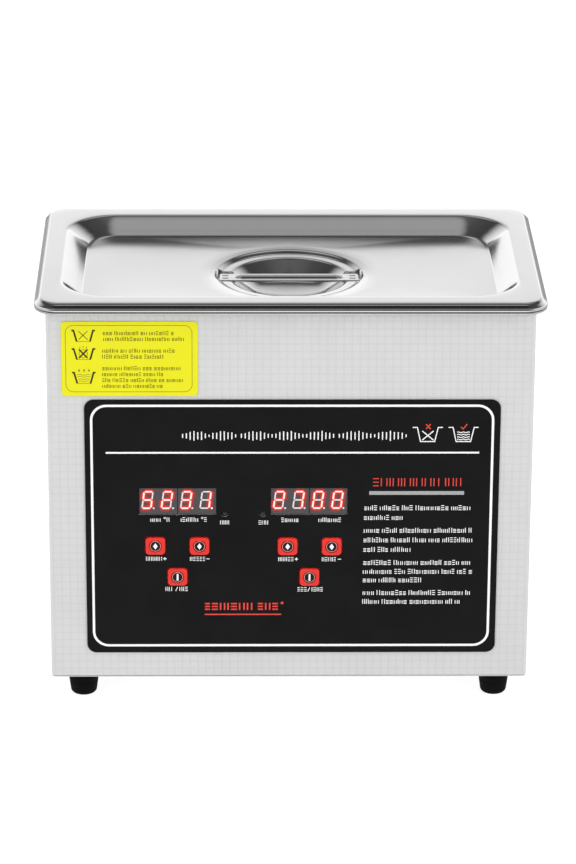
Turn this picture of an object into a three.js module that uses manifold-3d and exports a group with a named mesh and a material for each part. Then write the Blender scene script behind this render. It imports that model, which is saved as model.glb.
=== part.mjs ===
// Bench-top ultrasonic cleaner, 3.2 litre: a stainless casing with a control panel,
// a drawn tank with two bolted transducers and two heater pads, the drive electronics,
// a fused mains inlet at the back and a loose drop-in lid with a bar handle.
//
// Units are millimetres. Origin: centre of the overall box at its base (the plane that
// the feet stand on). +X to the operator's right, +Y away from the operator, +Z up.

import * as THREE from "three";
import { mergeVertices } from "three/addons/utils/BufferGeometryUtils.js";
import Module from "manifold-3d";

const wasm = await Module();
wasm.setup();

// ---------------------------------------------------------------- driving dimensions
const HEIGHT = 226.5; // top of the lid rim
const FLANGE = { x: 132.5, y: 81, r: 12 }; // half sizes of the lid and tank flange (quarter gastronorm, 265 x 162)
const CASE = { x: 126.5, y: 75, r: 2 }; // half sizes of the casing wrap, 253 x 150
const CASE_BOTTOM = 14; // underside of the casing
const WALL = 1; // casing sheet
const GAP = 0.3; // clearance kept between neighbouring pieces

const TANK_TOP = 222; // top of the tank flange
const TANK_FLOOR = 122; // inside bottom of the tank, 100 deep
const TANK_T = 1.2; // tank sheet
const CASE_TOP = TANK_TOP - 1.4 - GAP;

const LID_T = 0.9; // lid sheet
const DISH_R = 31.7; // mouth of the finger bowl
const DISH_RING_R = 36.5; // flat ring that the handle is welded to
const DISH_STEP_R = 39.1; // step from the tray floor to the ring
const BOWL_DEPTH = 13.5;

const PANEL = { x0: -107.3, x1: 109.3, z0: 28.3, z1: 171.6, r: 5, t: 0.5 };
const LABEL = { x0: -118.7, x1: -48.1, z0: 174.3, z1: 215.2, r: 3, t: 0.25 };
const FRONT = -CASE.y; // outer face of the casing front
const SKIN = FRONT - GAP; // back of anything stuck on the front

const DISPLAY_Z = [107.9, 122.7];
const DISPLAY_X = {
  display_set_temperature: [-79.1, -59.15],
  display_actual_temperature: [-58.85, -38.7],
  display_minutes: [-10.15, 9.95],
  display_seconds: [10.25, 30.05],
};
const LED = { heater_led: [-34.3, 108.3], ultrasound_led: [-14.3, 108.2] };
const BUTTON = {
  temperature_up: [-70.8, 89.9],
  temperature_down: [-47.6, 89.8],
  heater_on_off: [-59.2, 72.2],
  time_up: [-1.2, 89.6],
  time_down: [22.0, 89.5],
  ultrasound_on_off: [10.4, 72.0],
};
const CAP = 10.7; // button cap, square
const BUTTON_TRAVEL = 0.5;

const BOARD_Y = -67; // front face of the control board
const BOARD = { x0: -92, x1: 44, z0: 59.5, z1: 128 };
const BOARD_STUDS = [
  [-87, 63.5],
  [-87, 124],
  [39, 63.5],
  [39, 124],
];

const FOOT_XY = { x: 110, y: 61.5 };
const PLATE_Z = CASE_BOTTOM + WALL + GAP; // underside of the bottom plate
const PLATE_T = 1.2;

const TRANSDUCER_X = 52;
const INLET = { x: 70, z: 52 }; // centre of the mains inlet on the rear wall

// ---------------------------------------------------------------- colours
const finish = (color, roughness, metalness) =>
  new THREE.MeshStandardMaterial({ color, roughness, metalness });
const steel = () => finish(0xd9dadb, 0.34, 1);
const mirrorSteel = () => finish(0xe2e3e4, 0.12, 1);
const zinc = () => finish(0xb9bcbf, 0.35, 1);
const rubber = () => finish(0x111112, 0.8, 0);
const blackPlastic = () => finish(0x17181a, 0.5, 0);
const boardGreen = () => finish(0x1f5a35, 0.55, 0);

// ---------------------------------------------------------------- helpers
// A three.js geometry as a manifold solid, whichever way its faces were wound.
function solid(geometry) {
  const g = new THREE.BufferGeometry().setAttribute(
    "position",
    (geometry.index ? geometry.toNonIndexed() : geometry).getAttribute(
      "position",
    ),
  );
  const m = mergeVertices(g, 1e-4);
  const triVerts = new Uint32Array(m.index.array);
  const make = () =>
    new wasm.Manifold(
      new wasm.Mesh({
        numProp: 3,
        vertProperties: new Float32Array(m.attributes.position.array),
        triVerts,
      }),
    );
  const s = make();
  if (s.volume() >= 0) return s;
  for (let i = 0; i < triVerts.length; i += 3)
    [triVerts[i + 1], triVerts[i + 2]] = [triVerts[i + 2], triVerts[i + 1]];
  return make();
}

// A manifold solid back as a flat-shaded three.js geometry.
function geometryOf(s) {
  const m = s.getMesh();
  const v = new Float32Array(m.numVert * 3);
  for (let i = 0; i < m.numVert; i++)
    v.set(
      m.vertProperties.subarray(i * m.numProp, i * m.numProp + 3),
      i * 3,
    );
  const g = new THREE.BufferGeometry()
    .setAttribute("position", new THREE.BufferAttribute(v, 3))
    .setIndex(new THREE.BufferAttribute(new Uint32Array(m.triVerts), 1));
  const flat = g.toNonIndexed();
  flat.computeVertexNormals();
  return flat;
}

const join = (...all) => all.reduce((a, b) => a.add(b));
const cut = (a, ...all) => all.reduce((s, b) => s.subtract(b), a);

const block = (x0, x1, y0, y1, z0, z1) =>
  solid(
    new THREE.BoxGeometry(x1 - x0, y1 - y0, z1 - z0).translate(
      (x0 + x1) / 2,
      (y0 + y1) / 2,
      (z0 + z1) / 2,
    ),
  );

// Cylinders along Z and along Y between two coordinates.
const rodZ = (x, y, r, z0, z1, n = 16) =>
  solid(
    new THREE.CylinderGeometry(r, r, z1 - z0, n)
      .rotateX(Math.PI / 2)
      .translate(x, y, (z0 + z1) / 2),
  );
const rodY = (x, z, r, y0, y1, n = 16) =>
  solid(
    new THREE.CylinderGeometry(r, r, y1 - y0, n).translate(
      x,
      (y0 + y1) / 2,
      z,
    ),
  );

// A rectangle with round corners, centred on (cx, cy).
function roundRect(hx, hy, r, cx = 0, cy = 0, Type = THREE.Shape) {
  const s = new Type();
  s.moveTo(cx - hx + r, cy - hy);
  s.lineTo(cx + hx - r, cy - hy);
  s.absarc(cx + hx - r, cy - hy + r, r, -Math.PI / 2, 0, false);
  s.lineTo(cx + hx, cy + hy - r);
  s.absarc(cx + hx - r, cy + hy - r, r, 0, Math.PI / 2, false);
  s.lineTo(cx - hx + r, cy + hy);
  s.absarc(cx - hx + r, cy + hy - r, r, Math.PI / 2, Math.PI, false);
  s.lineTo(cx - hx, cy - hy + r);
  s.absarc(cx - hx + r, cy - hy + r, r, Math.PI, 1.5 * Math.PI, false);
  return s;
}

// A shape in the XY plane raised along Z, and a shape in the XZ plane run along Y.
const prismZ = (shape, z0, z1, seg = 3) =>
  solid(
    new THREE.ExtrudeGeometry(shape, {
      depth: z1 - z0,
      bevelEnabled: false,
      curveSegments: seg,
    }).translate(0, 0, z0),
  );
const prismY = (shape, y0, y1, seg = 3) =>
  solid(
    new THREE.ExtrudeGeometry(shape, {
      depth: y1 - y0,
      bevelEnabled: false,
      curveSegments: seg,
    })
      .rotateX(Math.PI / 2)
      .translate(0, y1, 0),
  );

// A profile of [radius, z] pairs turned about a vertical axis through (x, y).
const turned = (x, y, profile, n = 16) =>
  solid(
    new THREE.LatheGeometry(
      profile.map(([r, z]) => new THREE.Vector2(r, z)),
      n,
    )
      .rotateX(Math.PI / 2)
      .translate(x, y, 0),
  );

// ---- lofted sheet: closed loops of equal count, joined in turn
const CORNER_STEPS = 6;
const LONG_STEPS = 3;
const SHORT_STEPS = 2;
function loopRect(hx, hy, r, z) {
  const out = [];
  const corners = [
    [hx - r, -hy + r, -Math.PI / 2],
    [hx - r, hy - r, 0],
    [-hx + r, hy - r, Math.PI / 2],
    [-hx + r, -hy + r, Math.PI],
  ];
  corners.forEach(([cx, cy, a0], i) => {
    for (let k = 0; k <= CORNER_STEPS; k++) {
      const a = a0 + (Math.PI / 2) * (k / CORNER_STEPS);
      out.push([cx + r * Math.cos(a), cy + r * Math.sin(a), z]);
    }
    const [nx, ny, a1] = corners[(i + 1) % 4];
    const from = out[out.length - 1];
    const to = [nx + r * Math.cos(a1), ny + r * Math.sin(a1), z];
    const steps = i % 2 ? LONG_STEPS : SHORT_STEPS;
    for (let k = 1; k < steps; k++)
      out.push([
        from[0] + ((to[0] - from[0]) * k) / steps,
        from[1] + ((to[1] - from[1]) * k) / steps,
        z,
      ]);
  });
  return out;
}
// A circle whose points lie on the same bearings as those of a rectangle loop.
const bearings = loopRect(60, 60, 30, 0).map(([x, y]) => Math.atan2(y, x));
const loopCircle = (r, z) =>
  bearings.map((a) => [r * Math.cos(a), r * Math.sin(a), z]);

function loft(loops, startPoint, endPoint) {
  const verts = [];
  const tri = [];
  const n = loops[0].length;
  for (const loop of loops) for (const p of loop) verts.push(...p);
  const quad = (a, b) => {
    for (let i = 0; i < n; i++) {
      const j = (i + 1) % n;
      tri.push(a * n + i, a * n + j, b * n + j, a * n + i, b * n + j, b * n + i);
    }
  };
  for (let k = 0; k + 1 < loops.length; k++) quad(k, k + 1);
  if (startPoint) {
    const c = verts.length / 3;
    verts.push(...startPoint);
    for (let i = 0; i < n; i++) tri.push(c, (i + 1) % n, i);
    const d = verts.length / 3;
    verts.push(...endPoint);
    const last = (loops.length - 1) * n;
    for (let i = 0; i < n; i++) tri.push(d, last + i, last + ((i + 1) % n));
  } else quad(loops.length - 1, 0);
  const g = new THREE.BufferGeometry();
  g.setAttribute(
    "position",
    new THREE.BufferAttribute(new Float32Array(verts), 3),
  );
  g.setIndex(tri);
  return solid(g);
}

const machine = new THREE.Group();
machine.name = "ultrasonic_cleaner";
function add(name, s, material, parent = machine) {
  const mesh = new THREE.Mesh(geometryOf(s), material);
  mesh.name = name;
  parent.add(mesh);
  return mesh;
}

// ---------------------------------------------------------------- casing
// One wrap of sheet: four walls and a turned-in bottom flange, open at the top.
{
  let s = cut(
    prismZ(roundRect(CASE.x, CASE.y, CASE.r), CASE_BOTTOM, CASE_TOP),
    prismZ(
      roundRect(CASE.x - WALL, CASE.y - WALL, CASE.r - WALL),
      CASE_BOTTOM + WALL,
      CASE_TOP + 5,
    ),
    prismZ(roundRect(104, 52, 8), CASE_BOTTOM - 1, CASE_BOTTOM + 2),
  );
  // front cut-outs: two display windows, two indicator holes, six button holes
  const windowCut = (x0, x1) =>
    block(
      x0 - GAP,
      x1 + GAP,
      FRONT - 1,
      FRONT + 3,
      DISPLAY_Z[0] - GAP,
      DISPLAY_Z[1] + GAP,
    );
  s = cut(
    s,
    windowCut(-79.1, -38.7),
    windowCut(-10.15, 30.05),
    ...Object.values(LED).map(([x, z]) =>
      rodY(x, z, 1.85, FRONT - 1, FRONT + 3, 12),
    ),
    ...Object.values(BUTTON).map(([x, z]) =>
      prismY(
        roundRect(CAP / 2 + GAP, CAP / 2 + GAP, 2, x, z),
        FRONT - 1,
        FRONT + 3,
        2,
      ),
    ),
  );
  // welded shouldered studs for the control board
  for (const [x, z] of BOARD_STUDS)
    s = join(
      s,
      rodY(x, z, 3, FRONT + WALL - 0.2, BOARD_Y - GAP, 8),
      rodY(x, z, 1.5, FRONT + WALL - 0.2, BOARD_Y + 5, 8),
    );
  // foot screws through the bottom flange
  for (const sx of [-1, 1])
    for (const sy of [-1, 1])
      s = cut(
        s,
        rodZ(
          sx * FOOT_XY.x,
          sy * FOOT_XY.y,
          2.4,
          CASE_BOTTOM - 1,
          CASE_BOTTOM + 2,
          8,
        ),
      );
  // rear: inlet cut-out, its two screws, and a bank of ventilation slots
  s = cut(
    s,
    block(
      INLET.x - 14.1,
      INLET.x + 14.1,
      CASE.y - 3,
      CASE.y + 1,
      INLET.z - 16.4,
      INLET.z + 16.4,
    ),
    rodY(INLET.x - 20, INLET.z, 1.9, CASE.y - 3, CASE.y + 1, 12),
    rodY(INLET.x + 20, INLET.z, 1.9, CASE.y - 3, CASE.y + 1, 12),
  );
  for (let i = 0; i < 6; i++)
    s = cut(
      s,
      prismY(
        roundRect(26, 1.5, 1.2, -62, 40 + 8 * i),
        CASE.y - 3,
        CASE.y + 1,
        1,
      ),
    );
  add("casing", s, steel());
}

// ---------------------------------------------------------------- bottom plate
{
  let s = prismZ(
    roundRect(CASE.x - WALL - GAP, CASE.y - WALL - GAP, 1),
    PLATE_Z,
    PLATE_Z + PLATE_T,
  );
  const top = PLATE_Z + PLATE_T;
  for (const sx of [-1, 1])
    for (const sy of [-1, 1]) {
      const [x, y] = [sx * FOOT_XY.x, sy * FOOT_XY.y];
      s = cut(
        join(s, rodZ(x, y, 4.5, top - 0.2, top + 4, 8)),
        rodZ(x, y, 2.3, PLATE_Z - 1, top + 5, 8),
      );
    }
  for (const [x, y] of [
    [-90, -35],
    [-90, 40],
    [30, -35],
    [30, 40],
  ])
    s = join(
      s,
      rodZ(x, y, 3, top - 0.2, 23, 8),
      rodZ(x, y, 1.5, top - 0.2, 27, 8),
    );
  for (const cx of [-66, 66])
    for (let i = -2; i <= 2; i++)
      s = cut(
        s,
        prismZ(
          roundRect(1.5, 24, 1.2, cx + 8 * i, 0),
          PLATE_Z - 1,
          top + 1,
          1,
        ),
      );
  add("bottom_plate", s, steel());
}

// ---------------------------------------------------------------- feet and their screws
for (const [fx, sx] of [
  ["left", -1],
  ["right", 1],
])
  for (const [fy, sy] of [
    ["front", -1],
    ["rear", 1],
  ]) {
    const [x, y] = [sx * FOOT_XY.x, sy * FOOT_XY.y];
    add(
      `foot_${fy}_${fx}`,
      turned(
        x,
        y,
        [
          [4.1, 0],
          [5.9, 0],
          [6.9, 1],
          [7.6, 6],
          [8.4, 12.7],
          [8.1, CASE_BOTTOM - GAP],
          [2.4, CASE_BOTTOM - GAP],
          [2.4, 4.7],
          [4.1, 4.7],
          [4.1, 0],
        ],
        16,
      ),
      rubber(),
    );
    add(
      `foot_screw_${fy}_${fx}`,
      turned(
        x,
        y,
        [
          [0, 1.9],
          [2.6, 1.9],
          [3.6, 2.8],
          [3.6, 4.4],
          [2, 4.4],
          [2, 21],
          [0, 21],
        ],
        10,
      ),
      zinc(),
    );
  }

// ---------------------------------------------------------------- tank
{
  const f = TANK_TOP - 1.4;
  const inner = [
    loopRect(FLANGE.x, FLANGE.y, FLANGE.r, TANK_TOP),
    loopRect(123, 70.5, 33, TANK_TOP),
    loopRect(120.9, 68.4, 31, TANK_TOP - 0.8),
    loopRect(120.2, 67.7, 30.2, TANK_TOP - 2.5),
    loopRect(114.6, 62.1, 30, 142),
  ];
  const outer = [];
  for (const a of [30, 60, 90]) {
    const t = (a * Math.PI) / 180;
    const d = 20 * (1 - Math.cos(t));
    inner.push(loopRect(114.6 - d, 62.1 - d, 30 - d, 142 - 20 * Math.sin(t)));
  }
  for (const a of [90, 60, 30]) {
    const t = (a * Math.PI) / 180;
    const R = 20 + TANK_T;
    outer.push(
      loopRect(
        94.6 + R * Math.cos(t),
        42.1 + R * Math.cos(t),
        10 + R * Math.cos(t),
        142 - R * Math.sin(t),
      ),
    );
  }
  outer.push(
    loopRect(115.8, 63.3, 31.2, 142),
    loopRect(121.4, 68.9, 31.4, TANK_TOP - 3.1),
    loopRect(121.9, 69.4, 31.9, TANK_TOP - 1.9),
    loopRect(123.2, 70.7, 33.2, f),
    loopRect(FLANGE.x, FLANGE.y, FLANGE.r, f),
  );
  // from the centre of the floor out over the inside, the flange, and back under
  add(
    "tank",
    loft(
      [...inner.reverse(), ...outer.reverse()],
      [0, 0, TANK_FLOOR],
      [0, 0, TANK_FLOOR - TANK_T],
    ),
    steel(),
  );
}

// silicone bead in the corner between the tank flange and the casing
add(
  "rim_seal",
  cut(
    prismZ(
      roundRect(CASE.x - WALL - GAP, CASE.y - WALL - GAP, 1),
      CASE_TOP - 2.8,
      CASE_TOP,
      2,
    ),
    prismZ(roundRect(123.6, 72.1, 0.8), CASE_TOP - 4, CASE_TOP + 1, 2),
  ),
  finish(0xd8d8d4, 0.6, 0),
);

// ---------------------------------------------------------------- front panel and label
{
  const cx = (PANEL.x0 + PANEL.x1) / 2;
  const cz = (PANEL.z0 + PANEL.z1) / 2;
  let s = prismY(
    roundRect(
      (PANEL.x1 - PANEL.x0) / 2,
      (PANEL.z1 - PANEL.z0) / 2,
      PANEL.r,
      cx,
      cz,
    ),
    SKIN - PANEL.t,
    SKIN,
    4,
  );
  for (const [x0, x1] of [
    [-79.1, -38.7],
    [-10.15, 30.05],
  ])
    s = cut(
      s,
      block(
        x0 - GAP,
        x1 + GAP,
        SKIN - 2,
        SKIN + 2,
        DISPLAY_Z[0] - GAP,
        DISPLAY_Z[1] + GAP,
      ),
    );
  s = cut(
    s,
    ...Object.values(LED).map(([x, z]) =>
      rodY(x, z, 1.85, SKIN - 2, SKIN + 2, 12),
    ),
    ...Object.values(BUTTON).map(([x, z]) =>
      prismY(
        roundRect(CAP / 2 + GAP, CAP / 2 + GAP, 2, x, z),
        SKIN - 2,
        SKIN + 2,
        2,
      ),
    ),
  );
  add("panel_overlay", s, finish(0x161618, 0.35, 0));
}
add(
  "guidance_label",
  prismY(
    roundRect(
      (LABEL.x1 - LABEL.x0) / 2,
      (LABEL.z1 - LABEL.z0) / 2,
      LABEL.r,
      (LABEL.x0 + LABEL.x1) / 2,
      (LABEL.z0 + LABEL.z1) / 2,
    ),
    SKIN - LABEL.t,
    SKIN,
    3,
  ),
  finish(0xf0e63c, 0.5, 0),
);

// ---------------------------------------------------------------- control board
{
  const back = BOARD_Y + 1.6;
  let s = block(BOARD.x0, BOARD.x1, BOARD_Y, back, BOARD.z0, BOARD.z1);
  for (const [x, z] of BOARD_STUDS)
    s = cut(s, rodY(x, z, 1.8, BOARD_Y - 1, back + 1, 12));
  s = join(
    s,
    block(-62, -44, back - 0.2, back + 2.4, 84, 96), // controller chip
    block(-31, -9, back - 0.2, back + 7, 62, 69), // ribbon header
    block(12, 24, back - 0.2, back + 1.6, 90, 98), // driver chip
  );
  add("control_board", s, boardGreen());
}
for (const [name, [x0, x1]] of Object.entries(DISPLAY_X))
  add(
    name,
    block(
      x0,
      x1,
      FRONT - 0.4,
      BOARD_Y - GAP,
      DISPLAY_Z[0],
      DISPLAY_Z[1],
    ),
    finish(0x3a2f31, 0.4, 0),
  );
for (const [name, [x, z]] of Object.entries(LED))
  add(
    name,
    join(
      rodY(x, z, 1.5, FRONT - 0.7, BOARD_Y - GAP, 12),
      rodY(x, z, 1.9, FRONT + 4, BOARD_Y - GAP, 12),
    ),
    finish(0x3c1416, 0.3, 0),
  );

// ---------------------------------------------------------------- buttons and switches
// A cap slides in its hole, held in by a collar behind the casing front, and stops
// just short of the switch plunger when it is fully pressed.
for (const [name, [x, z]] of Object.entries(BUTTON)) {
  const collar = FRONT + WALL + GAP;
  const capBack = collar + 1.4;
  add(
    `button_${name}`,
    join(
      prismY(roundRect(CAP / 2, CAP / 2, 2, x, z), FRONT - 2, capBack, 3),
      prismY(
        roundRect(CAP / 2 + 1, CAP / 2 + 1, 1.2, x, z),
        collar,
        capBack,
        2,
      ),
    ),
    finish(0xc4161c, 0.35, 0),
  );
  const plunger = capBack + BUTTON_TRAVEL + GAP;
  add(
    `switch_${name}`,
    join(
      block(x - 3, x + 3, plunger + 0.8, BOARD_Y - GAP, z - 3, z + 3),
      rodY(x, z, 1.7, plunger, plunger + 1, 10),
    ),
    blackPlastic(),
  );
}

// ---------------------------------------------------------------- transducers
// Bonded under the tank floor: front mass, two ceramic rings, back mass, one bolt.
for (const [side, x] of [
  ["left", -TRANSDUCER_X],
  ["right", TRANSDUCER_X],
]) {
  const t = TANK_FLOOR - TANK_T - GAP;
  add(
    `transducer_${side}_front_mass`,
    turned(x, 0, [
      [0, t],
      [23, t],
      [23, t - 4],
      [18, t - 22],
      [5.3, t - 22],
      [5.3, t - 12],
      [0, t - 12],
    ]),
    finish(0xc9cccf, 0.4, 1),
  );
  const ring = (z1) => [
    [8, z1 - 5],
    [17.5, z1 - 5],
    [17.5, z1],
    [8, z1],
    [8, z1 - 5],
  ];
  add(
    `transducer_${side}_upper_ring`,
    turned(x, 0, ring(t - 22.3)),
    finish(0x6b6f60, 0.7, 0),
  );
  add(
    `transducer_${side}_lower_ring`,
    turned(x, 0, ring(t - 27.6)),
    finish(0x6b6f60, 0.7, 0),
  );
  add(
    `transducer_${side}_back_mass`,
    turned(x, 0, [
      [5.3, t - 50.5],
      [17, t - 50.5],
      [17.5, t - 50],
      [17.5, t - 32.9],
      [5.3, t - 32.9],
      [5.3, t - 50.5],
    ]),
    zinc(),
  );
  add(
    `transducer_${side}_bolt`,
    join(
      rodZ(x, 0, 5, t - 51.2, t - 12.3, 16),
      rodZ(x, 0, 8.6, t - 57.5, t - 50.8, 6),
    ),
    zinc(),
  );
}

// ---------------------------------------------------------------- heaters and sensors
// Silicone heater pads on the two end walls, tilted with the tank's draft.
{
  const lean = Math.atan2(121.4 - 115.8, TANK_TOP - 3.1 - 142);
  const mid = (TANK_TOP - 3.1 + 142) / 2;
  const face = (121.4 + 115.8) / 2;
  for (const [name, side] of [
    ["heater_pad_left", -1],
    ["heater_pad_right", 1],
  ]) {
    const turn = new THREE.Group();
    turn.position.set(
      side * (face + (GAP + 1) / Math.cos(lean)),
      0,
      mid,
    );
    turn.rotation.y = side * lean;
    machine.add(turn);
    add(name, block(-1, 1, -28, 28, -32, 32), finish(0xb5532e, 0.7, 0), turn);
  }
}
add(
  "temperature_sensor",
  join(
    solid(
      new THREE.CylinderGeometry(3, 3, 24, 12)
        .rotateZ(Math.PI / 2)
        .translate(0, 24, 117.4),
    ),
    block(-6, 6, 20.6, 27.4, 116.4, 120.5),
  ),
  zinc(),
);
add(
  "thermal_cutout",
  join(
    rodZ(0, -24, 8.4, 114, 120.5, 16),
    block(-6, -4.6, -27, -21, 106, 114.2),
    block(4.6, 6, -27, -21, 106, 114.2),
  ),
  finish(0x8a8d90, 0.45, 0.6),
);

// ---------------------------------------------------------------- drive electronics
{
  const z = 23 + GAP;
  let s = block(-95, 35, -40, 45, z, z + 1.6);
  for (const [x, y] of [
    [-90, -35],
    [-90, 40],
    [30, -35],
    [30, 40],
  ])
    s = cut(s, rodZ(x, y, 1.8, z - 1, z + 3, 12));
  const t = z + 1.4;
  s = join(
    s,
    rodZ(-78, -20, 8, t, t + 25, 14), // mains capacitor
    rodZ(-58, -20, 8, t, t + 25, 14),
    block(10, 28, 14, 34, t, t + 15), // relay
    block(-83, -57, 14, 34, t, t + 12), // film capacitor
    block(-31, -9, -39, -32, t, t + 8), // ribbon header
    block(14, 30, -20, -8, t, t + 10), // output terminals
  );
  add("generator_board", s, boardGreen());

  const b = z + 1.6 + GAP;
  // finned extrusion that the switching transistors are screwed to
  let h = block(-44, -4, 22, 44, b, b + 4);
  for (let i = 0; i < 6; i++)
    h = join(h, block(-44 + 7.6 * i, -42 + 7.6 * i, 22, 44, b + 3.8, b + 28));
  add("heat_sink", h, finish(0x9ea2a6, 0.45, 1));

  // ferrite core with its winding
  add(
    "output_transformer",
    join(
      block(-40, -8, -14, 12, b, b + 8),
      block(-40, -8, -14, 12, b + 20, b + 28),
      block(-40, -34, -14, 12, b + 7.8, b + 20.2),
      block(-14, -8, -14, 12, b + 7.8, b + 20.2),
      rodZ(-24, -1, 9.5, b + 7.8, b + 20.2, 16),
    ),
    finish(0x2c2a2a, 0.6, 0),
  );
}

// flat cable between the two boards, out of one header and down into the other
{
  const mid = [];
  mid.push([BOARD_Y + 1.6 + 7 + GAP, 65.5]);
  const c = [-43.5, 57.5];
  for (let k = 0; k <= 4; k++) {
    const a = Math.PI / 2 - (Math.PI / 2) * (k / 4);
    mid.push([c[0] + 8 * Math.cos(a), c[1] + 8 * Math.sin(a)]);
  }
  mid.push([-35.5, 24.7 + 8 + GAP]);
  const left = [];
  const right = [];
  mid.forEach(([y, z], i) => {
    const p = mid[Math.max(0, i - 1)];
    const q = mid[Math.min(mid.length - 1, i + 1)];
    const l = Math.hypot(q[0] - p[0], q[1] - p[1]);
    const [ny, nz] = [-(q[1] - p[1]) / l, (q[0] - p[0]) / l];
    left.push([y + 0.6 * ny, z + 0.6 * nz]);
    right.push([y - 0.6 * ny, z - 0.6 * nz]);
  });
  const outline = [...left, ...right.reverse()];
  const shape = new THREE.Shape(
    outline.map(([y, z]) => new THREE.Vector2(y, z)),
  );
  // the outline is drawn in (y, z) and run along x
  const g = new THREE.ExtrudeGeometry(shape, {
    depth: 18,
    bevelEnabled: false,
  });
  const m = new THREE.Matrix4().set(0, 0, 1, -29, 1, 0, 0, 0, 0, 1, 0, 0, 0, 0, 0, 1);
  add("ribbon_cable", solid(g.applyMatrix4(m)), finish(0x9a9ca0, 0.6, 0));
}

// ---------------------------------------------------------------- mains inlet
{
  const { x, z } = INLET;
  const face = CASE.y + 3;
  let s = join(
    prismY(roundRect(25, 19, 4, x, z), CASE.y + GAP, face, 3),
    block(x - 13.7, x + 13.7, 51, CASE.y + GAP + 0.2, z - 16, z + 16),
  );
  // three-pin socket, chamfered at its two upper corners
  const socket = new THREE.Shape();
  socket.moveTo(x - 12.1, z - 1.75);
  socket.lineTo(x + 12.1, z - 1.75);
  socket.lineTo(x + 12.1, z + 9.75);
  socket.lineTo(x + 7.1, z + 14.75);
  socket.lineTo(x - 7.1, z + 14.75);
  socket.lineTo(x - 12.1, z + 9.75);
  s = cut(
    s,
    prismY(socket, 61, face + 1),
    block(x - 12.3, x + 12.3, 56, face + 1, z - 14.3, z - 4.7),
    rodY(x - 20, z, 1.8, CASE.y - 1, face + 1, 12),
    rodY(x + 20, z, 1.8, CASE.y - 1, face + 1, 12),
  );
  const pins = {
    inlet_pin_line: [x - 7, z + 3.5],
    inlet_pin_neutral: [x + 7, z + 3.5],
    inlet_pin_earth: [x, z + 9.5],
  };
  for (const [px, pz] of Object.values(pins))
    s = cut(s, block(px - 1.3, px + 1.3, 49, 62, pz - 2.3, pz + 2.3));
  add("power_inlet", s, blackPlastic());
  for (const [name, [px, pz]] of Object.entries(pins))
    add(
      name,
      block(px - 1, px + 1, 43, face - 4.7, pz - 2, pz + 2),
      finish(0xcfc9b8, 0.3, 1),
    );

  // fuse drawer: a tray for one cartridge fuse laid crosswise
  const dz = z - 9.5;
  add(
    "fuse_drawer",
    cut(
      block(x - 12, x + 12, 56.3, face + 1, dz - 4.5, dz + 4.5),
      block(x - 10.6, x + 10.6, 58, 75.5, dz - 2.9, dz + 6),
      block(x - 6, x + 6, face - 0.2, face + 2, dz - 3.2, dz - 1.6),
    ),
    blackPlastic(),
  );
  for (const [name, sx] of [
    ["inlet_screw_left", -1],
    ["inlet_screw_right", 1],
  ])
    add(
      name,
      join(
        rodY(x + 20 * sx, z, 1.5, 68, face + 0.6, 10),
        rodY(x + 20 * sx, z, 3, face + GAP, face + 2, 14),
      ),
      zinc(),
    );
}

// ---------------------------------------------------------------- lid
const lidGroup = new THREE.Group();
lidGroup.position.set(0, 0, HEIGHT); // the lid is drawn with its rim top at zero
machine.add(lidGroup);
{
  const top = [
    loopRect(FLANGE.x, FLANGE.y, FLANGE.r, -4.2),
    loopRect(FLANGE.x, FLANGE.y, FLANGE.r, -2.6),
    loopRect(FLANGE.x - 0.8, FLANGE.y - 0.8, FLANGE.r - 0.8, -0.75),
    loopRect(FLANGE.x - 2.6, FLANGE.y - 2.6, FLANGE.r - 2.6, 0),
    loopRect(119, 67.6, 27.6, 0),
    loopRect(117.6, 66.2, 26.5, -0.7),
    loopRect(109.2, 59.4, 18.2, -8.4),
    loopRect(107.6, 57.9, 17, -9),
    loopCircle(DISH_STEP_R, -10.9),
    loopCircle(DISH_RING_R, -12.5),
    loopCircle(DISH_R, -12.6),
  ];
  const sphere = (DISH_R * DISH_R + BOWL_DEPTH * BOWL_DEPTH) / (2 * BOWL_DEPTH);
  const bowl = [0.8, 0.52, 0.25];
  const bowlZ = (r) =>
    -12.6 - BOWL_DEPTH + sphere - Math.sqrt(sphere * sphere - r * r);
  for (const k of bowl) top.push(loopCircle(DISH_R * k, bowlZ(DISH_R * k)));
  const T = LID_T;
  const under = [
    loopRect(FLANGE.x - T, FLANGE.y - T, FLANGE.r - T, -4.2),
    loopRect(FLANGE.x - T, FLANGE.y - T, FLANGE.r - T, -2.6),
    loopRect(FLANGE.x - 1.5, FLANGE.y - 1.5, FLANGE.r - 1.5, -1.4),
    loopRect(FLANGE.x - 2.8, FLANGE.y - 2.8, FLANGE.r - 2.8, -T),
    loopRect(119.4, 68, 28, -T),
    loopRect(118.2, 66.8, 27.1, -1.4),
    loopRect(109.8, 60, 18.8, -9.1),
    loopRect(107.9, 58.2, 17.3, -9 - T),
    loopCircle(DISH_STEP_R + 0.2, -10.9 - T),
    loopCircle(DISH_RING_R + 0.2, -12.5 - T),
    loopCircle(DISH_R + 0.6, -12.6 - T),
  ];
  for (const k of bowl)
    under.push(loopCircle(DISH_R * k + 0.4 * k, bowlZ(DISH_R * k) - T));
  add(
    "lid",
    loft(
      [...top.reverse(), ...under],
      [0, 0, bowlZ(0)],
      [0, 0, bowlZ(0) - T],
    ),
    mirrorSteel(),
    lidGroup,
  );
}

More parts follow.
